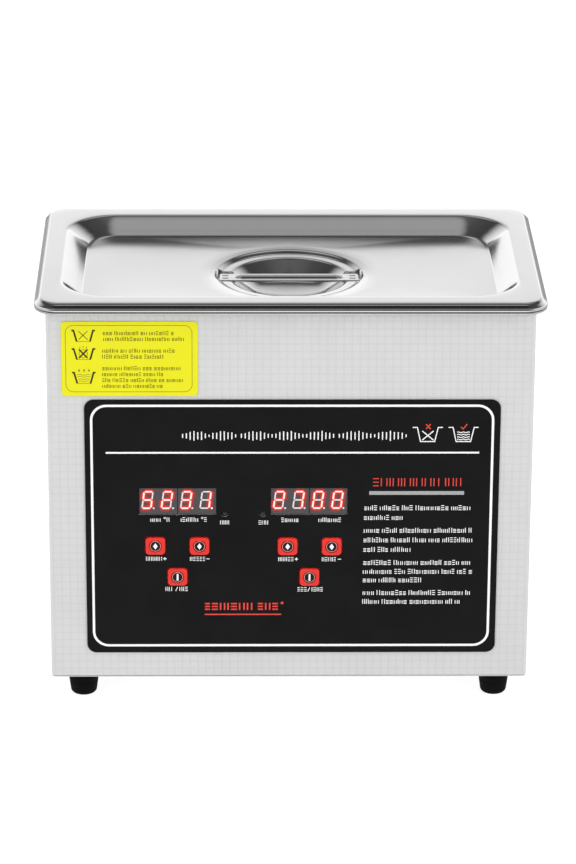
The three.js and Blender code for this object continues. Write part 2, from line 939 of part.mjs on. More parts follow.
// bar handle: a strip with a pressed rib, spot-welded to the ring at both ends
{
  const rib = new THREE.Shape();
  rib.moveTo(-3.4, 0);
  for (let k = 1; k < 6; k++) {
    const a = Math.PI - (Math.PI * k) / 6;
    rib.lineTo(3.4 * Math.cos(a), 1.5 * Math.sin(a));
  }
  rib.lineTo(3.4, 0);
  const ribBar = new THREE.ExtrudeGeometry(rib, {
    depth: 53,
    bevelEnabled: false,
  });
  // section in (y, z), run along x
  ribBar.applyMatrix4(
    new THREE.Matrix4().set(0, 0, 1, -26.5, 1, 0, 0, 0, 0, 1, 0, -11.3, 0, 0, 0, 1),
  );
  add(
    "lid_handle",
    join(
      prismZ(roundRect(36, 5.6, 3), -12.2, -11, 4),
      solid(ribBar),
    ),
    mirrorSteel(),
    lidGroup,
  );
}

export default machine;
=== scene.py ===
"""Bench-top ultrasonic cleaner, 3.2 litre: the visual model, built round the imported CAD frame.

Shapes are written in millimetres in the part's own frame (front faces -Y, +X to the right,
+Z up, origin under the middle of the machine) and turned into metres as each mesh is made.
"""

import math
import random

import bpy
import bmesh
import numpy as np
from mathutils import Matrix, Vector


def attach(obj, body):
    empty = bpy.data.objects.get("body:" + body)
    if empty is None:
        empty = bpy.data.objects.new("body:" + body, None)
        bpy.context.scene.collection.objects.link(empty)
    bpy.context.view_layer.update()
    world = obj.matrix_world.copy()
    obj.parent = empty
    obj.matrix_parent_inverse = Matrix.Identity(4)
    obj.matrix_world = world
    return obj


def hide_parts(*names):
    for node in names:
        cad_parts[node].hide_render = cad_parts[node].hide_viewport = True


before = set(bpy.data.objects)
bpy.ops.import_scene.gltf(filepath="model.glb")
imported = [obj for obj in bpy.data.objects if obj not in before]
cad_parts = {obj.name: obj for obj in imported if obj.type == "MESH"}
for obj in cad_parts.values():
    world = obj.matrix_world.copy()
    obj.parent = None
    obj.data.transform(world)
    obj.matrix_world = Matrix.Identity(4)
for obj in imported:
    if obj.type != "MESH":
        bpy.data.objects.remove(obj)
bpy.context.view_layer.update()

MM = 0.001
rnd = random.Random(20)
scene = bpy.context.scene


# ============================================================================ camera
def make_camera():
    pitch, yaw, roll = (math.radians(a) for a in (21.2136, 0.958, 0.317))
    fwd = Vector(
        (math.sin(yaw) * math.cos(pitch), math.cos(yaw) * math.cos(pitch), -math.sin(pitch))
    )
    side = Vector((math.cos(yaw), -math.sin(yaw), 0))
    up = side.cross(fwd)
    right = side * math.cos(roll) + up * math.sin(roll)
    top = up * math.cos(roll) - side * math.sin(roll)
    cam = bpy.data.cameras.new("camera")
    cam.sensor_width, cam.lens = 36, 161.57
    cam.clip_start, cam.clip_end = 0.05, 60
    ob = bpy.data.objects.new("camera", cam)
    m = Matrix((right, top, -fwd)).transposed().to_4x4()
    m.translation = Vector((-0.0328, -1.957, 0.8847))
    ob.matrix_world = m
    scene.collection.objects.link(ob)
    scene.camera = ob


make_camera()
scene.view_settings.view_transform = "Standard"
scene.view_settings.look = "None"
scene.view_settings.exposure = 0
scene.view_settings.gamma = 1


# ============================================================================ node helpers
class Nodes:
    """A small wrapper, so that a material reads as what it is made of."""

    def __init__(self, tree):
        self.t = tree

    def add(self, kind, **kw):
        n = self.t.nodes.new(kind)
        for k, v in kw.items():
            if k.startswith("i_"):
                n.inputs[k[2:].replace("_", " ")].default_value = v
            elif k.startswith("n_"):
                n.inputs[int(k[2:])].default_value = v
            else:
                setattr(n, k, v)
        return n

    def link(self, a, b):
        self.t.links.new(a, b)

    def math(self, op, a, b=None, c=None):
        n = self.t.nodes.new("ShaderNodeMath")
        n.operation = op
        for i, v in enumerate((a, b, c)):
            if v is None:
                continue
            if hasattr(v, "is_output"):
                self.t.links.new(v, n.inputs[i])
            else:
                n.inputs[i].default_value = v
        return n.outputs[0]

    def smooth(self, value, lo, hi):
        n = self.t.nodes.new("ShaderNodeMapRange")
        n.interpolation_type = "SMOOTHSTEP"
        self.t.links.new(value, n.inputs["Value"])
        n.inputs["From Min"].default_value = lo
        n.inputs["From Max"].default_value = hi
        return n.outputs["Result"]

    def mix(self, fac, a, b):
        n = self.t.nodes.new("ShaderNodeMix")
        n.data_type = "RGBA"
        for sock, v in ((n.inputs["Factor"], fac), (n.inputs[6], a), (n.inputs[7], b)):
            if hasattr(v, "is_output"):
                self.t.links.new(v, sock)
            elif isinstance(v, (int, float)):
                sock.default_value = v
            else:
                sock.default_value = (*v, 1) if len(v) == 3 else v
        return n.outputs[2]


# ============================================================================ studio
def make_world():
    """A studio seen by direction: a bright band round the sides and the rear, a dark front
    (where the photographer stands), a soft overhead panel towards the front."""
    w = bpy.data.worlds.new("studio")
    scene.world = w
    w.use_nodes = True
    n = Nodes(w.node_tree)
    w.node_tree.nodes.clear()
    tc = n.add("ShaderNodeTexCoord")
    nrm = n.add("ShaderNodeVectorMath", operation="NORMALIZE")
    n.link(tc.outputs["Generated"], nrm.inputs[0])
    sep = n.add("ShaderNodeSeparateXYZ")
    n.link(nrm.outputs[0], sep.inputs[0])
    x, y, z = sep.outputs
    el = n.math("ARCSINE", z)
    pos = n.math("MULTIPLY_ADD", el, 1 / math.pi, 0.5)

    def profile(stops):
        r = n.add("ShaderNodeValToRGB")
        n.link(pos, r.inputs[0])
        cr = r.color_ramp
        cr.interpolation = "EASE"
        while len(cr.elements) > 1:
            cr.elements.remove(cr.elements[-1])
        for i, (deg, val) in enumerate(stops):
            e = cr.elements[0] if i == 0 else cr.elements.new((deg + 90) / 180)
            e.position = (deg + 90) / 180
            e.color = (val, val, val * 1.005, 1)
        return r.outputs[0]

    rear = profile([
        (-90, 0.60), (-45, 0.55), (-24, 0.45), (-17, 0.42), (-8, 0.30), (-3.5, 0.29), (-0.8, 0.34), (1, 0.95),
        (8, 1.05), (15, 1.10), (17, 1.0), (18.4, 0.87), (20.5, 0.77), (24, 0.63), (28, 0.53), (31, 0.42), (34.5, 0.18), (38, 0.05),
        (43, 0.06), (47, 0.46), (58, 0.46), (64, 0.24), (68, 0.07), (76, 0.045), (84, 0.085), (90, 0.09),
    ])
    side = profile([
        (-90, 0.60), (-45, 0.60), (-20, 0.55), (-6, 0.60), (2, 0.95), (13, 1.0), (24, 0.78), (31, 0.52), (36, 0.26), (41, 0.04), (60, 0.06), (80, 0.10), (90, 0.11),
    ])
    front = profile([
        (-90, 1.0), (-60, 0.95), (-44, 0.70), (-34, 0.20), (-27, 0.035), (-8, 0.016), (0, 0.10), (6, 0.40), (17, 0.42), (23, 0.08), (28, 0.016), (43, 0.014), (49, 0.12), (55, 0.33), (76, 0.34), (84, 0.14), (90, 0.10),
    ])
    flat = n.math("SQRT", n.math("ADD", n.math("MULTIPLY", x, x), n.math("MULTIPLY", y, y)))
    s = n.math("DIVIDE", y, n.math("MAXIMUM", flat, 1e-4))
    w_rear = n.smooth(s, 0.78, 0.96)
    w_front = n.smooth(n.math("MULTIPLY", s, -1), 0.50, 1.0)
    col = n.mix(w_rear, side, rear)
    col = n.mix(w_front, col, front)
    bg = n.add("ShaderNodeBackground")
    n.link(col, bg.inputs["Color"])
    bg.inputs["Strength"].default_value = 1.0
    plain = n.add("ShaderNodeBackground", i_Strength=1.0)
    plain.inputs["Color"].default_value = (0.98, 0.98, 0.98, 1)
    path = n.add("ShaderNodeLightPath")
    both = n.add("ShaderNodeMixShader")
    n.link(path.outputs["Is Camera Ray"], both.inputs[0])
    n.link(bg.outputs[0], both.inputs[1])
    n.link(plain.outputs[0], both.inputs[2])
    out = n.add("ShaderNodeOutputWorld")
    n.link(both.outputs[0], out.inputs[0])


def area(name, where, size, power, at=(0, 0, 0.1), glossy=True, diffuse=True):
    light = bpy.data.lights.new(name, "AREA")
    light.shape = "RECTANGLE"
    light.size, light.size_y = size
    light.energy = power
    ob = bpy.data.objects.new(name, light)
    ob.location = where
    ob.rotation_mode = "QUATERNION"
    ob.rotation_quaternion = (Vector(at) - Vector(where)).to_track_quat("-Z", "Y")
    ob.visible_camera = False
    ob.visible_glossy = glossy
    ob.visible_diffuse = diffuse
    scene.collection.objects.link(ob)
    return ob


def around(azimuth, elevation, distance):
    """A place seen at that azimuth (0 in front, 90 to the right) and elevation."""
    a, e = math.radians(azimuth), math.radians(elevation)
    return (
        distance * math.sin(a) * math.cos(e),
        -distance * math.cos(a) * math.cos(e),
        0.1 + distance * math.sin(e),
    )


def make_studio():
    make_world()
    area("softbox_left", around(-54, 30, 2.6), (2.2, 1.8), 30, glossy=False)
    area("softbox_right", around(54, 30, 2.6), (2.2, 1.8), 30, glossy=False)
    area("overhead", around(0, 80, 2.4), (2.0, 1.6), 22, glossy=False)
    area("fill_front", around(0, 14, 3.2), (2.2, 1.2), 12, glossy=False)
    area("fill_rear", around(180, 35, 2.6), (2.4, 1.2), 26, glossy=False)

    me = bpy.data.meshes.new("floor")
    s = 12
    me.from_pydata([(-s, -s, 0), (s, -s, 0), (s, s, 0), (-s, s, 0)], [], [(0, 1, 2, 3)])
    floor = bpy.data.objects.new("floor", me)
    floor.location.z = -0.0001
    scene.collection.objects.link(floor)
    floor.visible_glossy = False
    m = bpy.data.materials.new("floor_white")
    m.use_nodes = True
    n = Nodes(m.node_tree)
    m.node_tree.nodes.clear()
    glow = n.add("ShaderNodeEmission", i_Strength=0.84)
    glow.inputs["Color"].default_value = (1, 1, 1, 1)
    dif = n.add("ShaderNodeBsdfDiffuse")
    dif.inputs["Color"].default_value = (0.30, 0.30, 0.30, 1)
    add = n.add("ShaderNodeAddShader")
    n.link(glow.outputs[0], add.inputs[0])
    n.link(dif.outputs[0], add.inputs[1])
    clear = n.add("ShaderNodeBsdfTransparent")
    geo = n.add("ShaderNodeNewGeometry")
    mix = n.add("ShaderNodeMixShader")
    n.link(geo.outputs["Backfacing"], mix.inputs[0])
    n.link(add.outputs[0], mix.inputs[1])
    n.link(clear.outputs[0], mix.inputs[2])
    out = n.add("ShaderNodeOutputMaterial")
    n.link(mix.outputs[0], out.inputs[0])
    me.materials.append(m)


make_studio()


# ============================================================================ materials
def material(
    name,
    color,
    rough=0.5,
    metal=0.0,
    tint=0.05,
    tint_scale=70.0,
    rough_var=0.06,
    rough_scale=260.0,
    bump=0.0,
    bump_scale=2500.0,
    stretch=(1, 1, 1),
    color2=None,
    coat=0.0,
    coat_rough=0.1,
    specular=0.5,
    emission=0.0,
    edge=0.0,
    relief_shade=0.0,
    sub=0.0,
):
    """A procedural finish: two scales of noise drive colour and roughness, a third drives
    a fine bump, and edge lightens the corners as handling does."""
    m = bpy.data.materials.new(name)
    m.use_nodes = True
    m.node_tree.nodes.clear()
    n = Nodes(m.node_tree)
    tc = n.add("ShaderNodeTexCoord")
    mp = n.add("ShaderNodeMapping")
    mp.inputs["Scale"].default_value = stretch
    n.link(tc.outputs["Object"], mp.inputs["Vector"])
    broad = n.add("ShaderNodeTexNoise", i_Scale=tint_scale, i_Detail=3.0, i_Roughness=0.55)
    n.link(mp.outputs[0], broad.inputs["Vector"])
    fine = n.add("ShaderNodeTexNoise", i_Scale=rough_scale, i_Detail=4.0, i_Roughness=0.6)
    n.link(mp.outputs[0], fine.inputs["Vector"])

    dark = tuple(c * (1 - tint) for c in color)
    light = color2 if color2 else tuple(min(1.0, c * (1 + tint)) for c in color)
    col = n.mix(n.smooth(broad.outputs["Fac"], 0.25, 0.75), dark, light)
    geo = None
    if edge:
        geo = n.add("ShaderNodeNewGeometry")
        rim = n.smooth(geo.outputs["Pointiness"], 0.51, 0.60)
        wear = n.math("MULTIPLY", rim, n.math("MULTIPLY", fine.outputs["Fac"], edge))
        col = n.mix(wear, col, tuple(min(1.0, c * 1.6 + 0.05) for c in color))
    # painted shade: where the attribute is 0 (in a groove of the pressed grid) the colour is darkened towards 45 per
    # cent of itself
    if relief_shade:
        at = n.add("ShaderNodeAttribute", attribute_name="relief_shade")
        col = n.mix(
            n.math("MULTIPLY", n.math("SUBTRACT", 1.0, at.outputs["Fac"]), relief_shade),
            col,
            tuple(c * 0.45 for c in color),
        )
    bsdf = n.add("ShaderNodeBsdfPrincipled")
    n.link(col, bsdf.inputs["Base Color"])
    r = n.math("MULTIPLY_ADD", fine.outputs["Fac"], 2 * rough_var, rough - rough_var)
    n.link(r, bsdf.inputs["Roughness"])
    bsdf.inputs["Metallic"].default_value = metal
    bsdf.inputs["Specular IOR Level"].default_value = specular
    bsdf.inputs["Coat Weight"].default_value = coat
    bsdf.inputs["Coat Roughness"].default_value = coat_rough
    if sub:
        bsdf.inputs["Subsurface Weight"].default_value = sub
        bsdf.inputs["Subsurface Scale"].default_value = 0.001
    if emission:
        n.link(col, bsdf.inputs["Emission Color"])
        bsdf.inputs["Emission Strength"].default_value = emission
    if bump:
        grain = n.add("ShaderNodeTexNoise", i_Scale=bump_scale, i_Detail=2.0, i_Roughness=0.5)
        n.link(mp.outputs[0], grain.inputs["Vector"])
        b = n.add("ShaderNodeBump", i_Strength=bump, i_Distance=0.00003)
        n.link(grain.outputs["Fac"], b.inputs["Height"])
        n.link(b.outputs[0], bsdf.inputs["Normal"])
    out = n.add("ShaderNodeOutputMaterial")
    n.link(bsdf.outputs[0], out.inputs[0])
    m.diffuse_color = (*color, 1)
    return m


# the pressed grid's grooves are darkened in this finish's colour as painted shade
STEEL_EMBOSSED = material("steel_embossed", (0.81, 0.81, 0.806), 0.60, 0.50, tint=0.02, tint_scale=45, rough_var=0.05, rough_scale=500, bump=0.10, bump_scale=6000, relief_shade=0.10)
STEEL_INNER = material("steel_mill", (0.70, 0.70, 0.70), 0.42, 1.0, tint=0.04, stretch=(0.05, 1, 1), rough_scale=900, bump=0.2, bump_scale=4000)
STEEL_PLAIN = material("steel_plain", (0.74, 0.74, 0.74), 0.36, 0.95, tint=0.04, stretch=(0.06, 1, 1), rough_scale=900, bump=0.15, bump_scale=4000)
STEEL_DRAWN = material("steel_drawn", (0.80, 0.80, 0.80), 0.24, 1.0, tint=0.03, tint_scale=30, stretch=(1, 1, 0.12), rough_scale=700, rough_var=0.05, bump=0.12, bump_scale=3000)
STEEL_POLISHED = material("steel_polished", (0.90, 0.90, 0.905), 0.14, 1.0, tint=0.015, tint_scale=25, rough_var=0.025, rough_scale=160, bump=0.02, bump_scale=1500)
ZINC = material("zinc_plated", (0.66, 0.67, 0.68), 0.33, 1.0, tint=0.06, tint_scale=300, rough_scale=900, edge=0.4)
ALUMINIUM = material("aluminium_plain", (0.74, 0.75, 0.76), 0.38, 1.0, tint=0.04, tint_scale=200, stretch=(1, 1, 0.08), rough_scale=1500, bump=0.2, bump_scale=5000)
NICKEL = material("nickel_plated", (0.74, 0.71, 0.64), 0.22, 1.0, tint=0.04, tint_scale=400)
RUBBER = material("rubber_black", (0.0028, 0.0028, 0.0030), 0.70, 0.0, tint=0.25, tint_scale=300, rough_var=0.08, rough_scale=900, bump=0.35, bump_scale=4500, specular=0.12)
SILICONE = material("silicone_grey", (0.60, 0.60, 0.58), 0.45, 0.0, tint=0.05, sub=0.2, bump=0.2, bump_scale=900)
HEATER = material("heater_silicone", (0.50, 0.12, 0.05), 0.62, 0.0, tint=0.10, tint_scale=250, bump=0.6, bump_scale=2200)
OVERLAY = material("overlay_black", (0.0052, 0.0052, 0.0054), 0.40, 0.0, tint=0.15, tint_scale=60, rough_var=0.05, rough_scale=2500, bump=0.25, bump_scale=9000, specular=0.35)
PRINT_WHITE = material("print_white", (0.82, 0.82, 0.82), 0.55, 0.0, tint=0.02, tint_scale=800, rough_scale=4000)
PRINT_RED = material("print_red", (0.68, 0.042, 0.028), 0.55, 0.0, tint=0.06, tint_scale=800, rough_scale=4000)
PRINT_GREY = material("print_grey", (0.33, 0.33, 0.33), 0.55, 0.0, tint=0.04, tint_scale=800, rough_scale=4000)
LABEL = material("label_yellow", (0.70, 0.672, 0.002), 0.42, 0.0, tint=0.02, tint_scale=50, rough_scale=3000, bump=0.12, bump_scale=6000, specular=0.35)
LABEL_INK = material("label_ink", (0.022, 0.020, 0.006), 0.55, 0.0, tint=0.10, tint_scale=900, rough_scale=4000, specular=0.3)
LABEL_INK_SOFT = material("label_ink_soft", (0.24, 0.22, 0.02), 0.55, 0.0, tint=0.10, tint_scale=900, rough_scale=4000, specular=0.3)
DISPLAY = material("display_face", (0.075, 0.062, 0.066), 0.38, 0.0, tint=0.12, tint_scale=900, rough_scale=2500, specular=0.4)
DISPLAY_BODY = material("display_body", (0.62, 0.61, 0.59), 0.5, 0.0, tint=0.04, tint_scale=300)
SEG_LIT = material("segment_lit", (1.0, 0.60, 0.48), 0.4, 0.0, tint=0.02, tint_scale=900, emission=0.60)
# painted glow: the unlit segments carry a faint emission of their own
SEG_OFF_GLOW = material("segment_off_painted_glow", (0.62, 0.60, 0.60), 0.4, 0.0, tint=0.04, tint_scale=900, emission=0.12)
HALO = material("segment_halo", (0.78, 0.03, 0.035), 0.45, 0.0, tint=0.04, tint_scale=900, emission=0.55)
HALO_DIM = material("segment_halo_dim", (0.30, 0.02, 0.024), 0.45, 0.0, tint=0.04, tint_scale=900, emission=0.25)
GLOW = material("segment_glow", (0.33, 0.022, 0.028), 0.45, 0.0, tint=0.08, tint_scale=900, emission=0.12)
LED_LENS = material("led_lens", (0.020, 0.022, 0.020), 0.22, 0.0, tint=0.2, tint_scale=500, coat=0.6)
BUTTON_RED = material("button_red", (0.72, 0.026, 0.018), 0.30, 0.0, tint=0.04, tint_scale=300, rough_var=0.04, rough_scale=1800, bump=0.12, bump_scale=6000, specular=0.5)
# painted shadow: a dark red ring stands for the shade in a groove round the cap's centre
BUTTON_GROOVE_SHADOW = material("button_groove_painted_shadow", (0.030, 0.006, 0.005), 0.42, 0.0, tint=0.1, tint_scale=900)
# painted highlight: a pale ring stands for light caught on a raised ring of the cap
BUTTON_RING_HIGHLIGHT = material("button_ring_painted_highlight", (0.72, 0.30, 0.27), 0.42, 0.0, tint=0.05, tint_scale=900)
BUTTON_BLACK = material("button_mark_black", (0.010, 0.008, 0.008), 0.42, 0.0, tint=0.1, tint_scale=900)
PLASTIC = material("plastic_black", (0.013, 0.013, 0.014), 0.42, 0.0, tint=0.15, tint_scale=200, rough_var=0.06, rough_scale=1500, bump=0.4, bump_scale=5000, edge=0.25)
PCB = material("circuit_board", (0.010, 0.12, 0.045), 0.38, 0.0, tint=0.25, tint_scale=180, rough_scale=900, coat=0.3, coat_rough=0.2)
COPPER_PAD = material("solder_pad", (0.62, 0.62, 0.60), 0.30, 1.0, tint=0.08, tint_scale=900)
CAP_SLEEVE = material("capacitor_sleeve", (0.012, 0.016, 0.05), 0.35, 0.0, tint=0.1, tint_scale=400, specular=0.5)
FILM_CAP = material("film_capacitor", (0.42, 0.06, 0.02), 0.35, 0.0, tint=0.08, tint_scale=300)
RELAY_BLUE = material("relay_case", (0.02, 0.09, 0.32), 0.35, 0.0, tint=0.06, tint_scale=300)
TERMINAL = material("terminal_green", (0.03, 0.26, 0.09), 0.45, 0.0, tint=0.06, tint_scale=300)
NATURAL = material("connector_natural", (0.70, 0.68, 0.60), 0.45, 0.0, tint=0.05, tint_scale=300)
FERRITE = material("ferrite_black", (0.030, 0.030, 0.032), 0.55, 0.1, tint=0.2, tint_scale=900, rough_scale=1500, bump=0.5, bump_scale=3500)
TAPE = material("winding_tape", (0.62, 0.48, 0.05), 0.40, 0.0, tint=0.06, tint_scale=300, coat=0.2)
PIEZO = material("piezo_ceramic", (0.20, 0.21, 0.17), 0.50, 0.0, tint=0.12, tint_scale=500, bump=0.4, bump_scale=3500)
SILVER = material("fired_silver", (0.78, 0.77, 0.74), 0.35, 1.0, tint=0.06, tint_scale=500)
RIBBON = material("ribbon_grey", (0.33, 0.33, 0.35), 0.48, 0.0, tint=0.06, tint_scale=200, bump=0.2, bump_scale=2500)
RIBBON_RED = material("ribbon_red", (0.45, 0.03, 0.03), 0.48, 0.0, tint=0.06, tint_scale=200)
CUTOUT = material("cutout_capsule", (0.50, 0.50, 0.50), 0.34, 1.0, tint=0.08, tint_scale=500)
PHENOLIC = material("cutout_base", (0.035, 0.020, 0.012), 0.45, 0.0, tint=0.1, tint_scale=500)


# ============================================================================ geometry helpers
def at(u, v, h, axis):
    """A point of a drawing plane raised by h along an axis: Z from (x, y), Y from (x, z), X from (y, z)."""
    if axis == "Z":
        return (u, v, h)
    if axis == "Y":
        return (u, h, v)
    return (h, u, v)


def rr(hx, hy, r, n=6, cx=0.0, cy=0.0):
    """A rectangle with round corners, counterclockwise."""
    pts = []
    r = max(r, 0.01)
    for sx, sy, a0 in ((1, -1, -90), (1, 1, 0), (-1, 1, 90), (-1, -1, 180)):
        ox, oy = cx + sx * (hx - r), cy + sy * (hy - r)
        for k in range(n + 1):
            a = math.radians(a0 + 90 * k / n)
            pts.append((ox + r * math.cos(a), oy + r * math.sin(a)))
    return pts


def circle(r, n=32, cx=0.0, cy=0.0, a0=0.0):
    return [(cx + r * math.cos(a0 + 2 * math.pi * k / n), cy + r * math.sin(a0 + 2 * math.pi * k / n)) for k in range(n)]


def loft(loops, cap0=True, cap1=True, close=False):
    """Loops of equal count joined in turn, with flat caps, or joined back to the first."""
    n = len(loops[0])
    verts = [p for lp in loops for p in lp]
    faces = []
    count = len(loops)
    for k in range(count if close else count - 1):
        a, b = k * n, ((k + 1) % count) * n
        for i in range(n):
            j = (i + 1) % n
            faces.append((a + i, a + j, b + j, b + i))
    if not close:
        if cap0:
            faces.append(tuple(reversed(range(n))))
        if cap1:
            faces.append(tuple(range((count - 1) * n, count * n)))
    return verts, faces


def slab(hx, hy, r, h0, h1, b0=0.2, b1=0.2, seg=2, n=5, cx=0.0, cy=0.0, axis="Z"):
    """A plate with round corners and rounded edges on both faces."""
    loops = []

    def ring(inset, h):
        loops.append([at(u, v, h, axis) for u, v in rr(hx - inset, hy - inset, r - inset, n, cx, cy)])

    if b0 > 0:
        for k in range(seg + 1):
            a = math.pi / 2 * k / seg
            ring(b0 * (1 - math.sin(a)), h0 + b0 * (1 - math.cos(a)))
    else:
        ring(0, h0)
    if b1 > 0:
        for k in range(seg + 1):
            a = math.pi / 2 * k / seg
            ring(b1 * (1 - math.cos(a)), h1 - b1 * (1 - math.sin(a)))
    else:
        ring(0, h1)
    return loft(loops)


def prism(outline, h0, h1, axis="Z"):
    return loft([[at(u, v, h, axis) for u, v in outline] for h in (h0, h1)])


def box(x0, x1, y0, y1, z0, z1, b=0.15):
    """A block with rounded edges, lofted along Z."""
    hx, hy = abs(x1 - x0) / 2, abs(y1 - y0) / 2
    b = min(b, hx * 0.45, hy * 0.45, abs(z1 - z0) * 0.45)
    return slab(hx, hy, b * 1.2, min(z0, z1), max(z0, z1), b, b, 2, 2, (x0 + x1) / 2, (y0 + y1) / 2)


def lathe(profile, n=40, c=(0.0, 0.0), axis="Z", closed=False, fn=None):
    """A profile of (radius, height) turned about an axis through c."""
    verts, rows = [], []
    for r, h in profile:
        if r < 1e-6:
            rows.append([len(verts)] * n)
            verts.append(at(c[0], c[1], h, axis))
        else:
            row = []
            for k in range(n):
                a = 2 * math.pi * k / n
                rad = fn(r, h, a) if fn else r
                row.append(len(verts))
                verts.append(at(c[0] + rad * math.cos(a), c[1] + rad * math.sin(a), h, axis))
            rows.append(row)
    faces = []
    m = len(rows)
    for k in range(m if closed else m - 1):
        p, q = rows[k], rows[(k + 1) % m]
        for i in range(n):
            j = (i + 1) % n
            f = [p[i], p[j], q[j], q[i]]
            out = []
            for v in f:
                if v not in out:
                    out.append(v)
            if len(out) >= 3:
                faces.append(tuple(out))
    return verts, faces


def fillet(points, radius, seg=3):
    """Rounds the inner corners of an open line of (r, h) pairs."""
    out = [points[0]]
    for i in range(1, len(points) - 1):
        p, c, q = (np.array(points[k], float) for k in (i - 1, i, i + 1))
        d = radius[i] if isinstance(radius, (list, tuple)) else radius
        lp, lq = np.linalg.norm(p - c), np.linalg.norm(q - c)
        d = min(d, lp * 0.45, lq * 0.45)
        if d < 1e-4:
            out.append(tuple(c))
            continue
        a, b = c + (p - c) / lp * d, c + (q - c) / lq * d
        for k in range(seg + 1):
            t = k / seg
            out.append(tuple(a * (1 - t) ** 2 + c * 2 * t * (1 - t) + b * t * t))
    out.append(points[-1])
    return out


class Build:
    """Gathers closed shells, each with its material's index, into one mesh."""

    def __init__(self):
        self.v, self.f, self.m = [], [], []

    def add(self, shell, mat=0):
        verts, faces = shell
        off = len(self.v)
        self.v += verts
        self.f += [tuple(i + off for i in f) for f in faces]
        self.m += [mat] * len(faces)
        return self

    def bar(self, x0, x1, z0, z1, y0, y1, r=0.0, mat=0):
        """A flat printed bar on a plane of constant y."""
        if r > 0:
            pts = rr((x1 - x0) / 2, (z1 - z0) / 2, min(r, (x1 - x0) / 2.01, (z1 - z0) / 2.01), 3, (x0 + x1) / 2, (z0 + z1) / 2)
        else:
            pts = [(x0, z0), (x1, z0), (x1, z1), (x0, z1)]
        return self.add(prism(pts, y0, y1, "Y"), mat)

    def line(self, pts, width, y0, y1, mat=0, closed=False):
        """A mitred line on a plane of constant y."""
        left, right = [], []
        n = len(pts)
        for i, p in enumerate(pts):
            a = pts[(i - 1) % n] if (closed or i > 0) else None
            b = pts[(i + 1) % n] if (closed or i < n - 1) else None
            d1 = np.array(p) - np.array(a) if a is not None else None
            d2 = np.array(b) - np.array(p) if b is not None else None
            if d1 is None:
                d1 = d2
            if d2 is None:
                d2 = d1
            d1, d2 = d1 / np.linalg.norm(d1), d2 / np.linalg.norm(d2)
            n1, n2 = np.array((-d1[1], d1[0])), np.array((-d2[1], d2[0]))
            m = n1 + n2
            m = m / np.linalg.norm(m)
            k = width / 2 / max(0.4, float(m @ n1))
            left.append(tuple(np.array(p) + m * k))
            right.append(tuple(np.array(p) - m * k))
        if closed:
            loops = [
                [at(u, v, y0, "Y") for u, v in left],
                [at(u, v, y1, "Y") for u, v in left],
                [at(u, v, y1, "Y") for u, v in right],
                [at(u, v, y0, "Y") for u, v in right],
            ]
            return self.add(loft(loops, close=True), mat)
        # each cross-section is a small loop of four, lofted along the line
        loops = [
            [at(*l, y0, "Y"), at(*l, y1, "Y"), at(*r, y1, "Y"), at(*r, y0, "Y")]
            for l, r in zip(left, right)
        ]
        return self.add(loft(loops), mat)


def mesh_object(name, verts, faces):
    me = bpy.data.meshes.new(name)
    me.from_pydata([(x * MM, y * MM, z * MM) for x, y, z in verts], [], faces)
    ob = bpy.data.objects.new(name, me)
    scene.collection.objects.link(ob)
    return ob


def outward(me):
    bm = bmesh.new()
    bm.from_mesh(me)
    bmesh.ops.recalc_face_normals(bm, faces=bm.faces)
    bm.to_mesh(me)
    bm.free()


def cutter(shells):
    b = Build()
    for s in shells:
        b.add(s)
    ob = mesh_object("cutter", b.v, b.f)
    outward(ob.data)
    return ob


def boolean(ob, shells, operation="DIFFERENCE"):
    """Cuts or joins closed shells, and leaves a plain mesh."""
    tool = cutter(shells)
    before = len(ob.data.vertices)
    done = False
    for solver in ("MANIFOLD", "EXACT"):
        mod = ob.modifiers.new("cut", "BOOLEAN")
        mod.operation, mod.object, mod.solver = operation, tool, solver
        bpy.context.view_layer.update()
        dg = bpy.context.evaluated_depsgraph_get()
        me = bpy.data.meshes.new_from_object(ob.evaluated_get(dg))
        ob.modifiers.clear()
        if len(me.vertices) != before and len(me.vertices) > 8:
            old = ob.data
            ob.data = me
            me.name = ob.name
            bpy.data.meshes.remove(old)
            done = True
            break
        bpy.data.meshes.remove(me)
    bpy.data.objects.remove(tool)
    if not done:
        print("boolean left unchanged:", ob.name)
    return ob


def dress(ob, mats, body, replaces=(), smooth=32, indices=None, normals=True):
    me = ob.data
    if normals:
        outward(me)
    me.materials.clear()
    for m in mats:
        me.materials.append(m)
    if indices is not None and len(indices) == len(me.polygons):
        me.polygons.foreach_set("material_index", np.array(indices, dtype=np.int32))
    me.shade_smooth()
    me.set_sharp_from_angle(angle=math.radians(smooth))
    me.update()
    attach(ob, body)
    if replaces:
        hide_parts(*replaces)
    return ob


def piece(name, build, mats, body, replaces=(), smooth=32):
    ob = mesh_object(name, build.v, build.f)
    return dress(ob, mats, body, replaces, smooth, build.m)


H = 226.5  # top of the lid rim
FRONT = -75.0
FILM = -75.8  # printed face of the panel film
LABEL_Y = -75.55


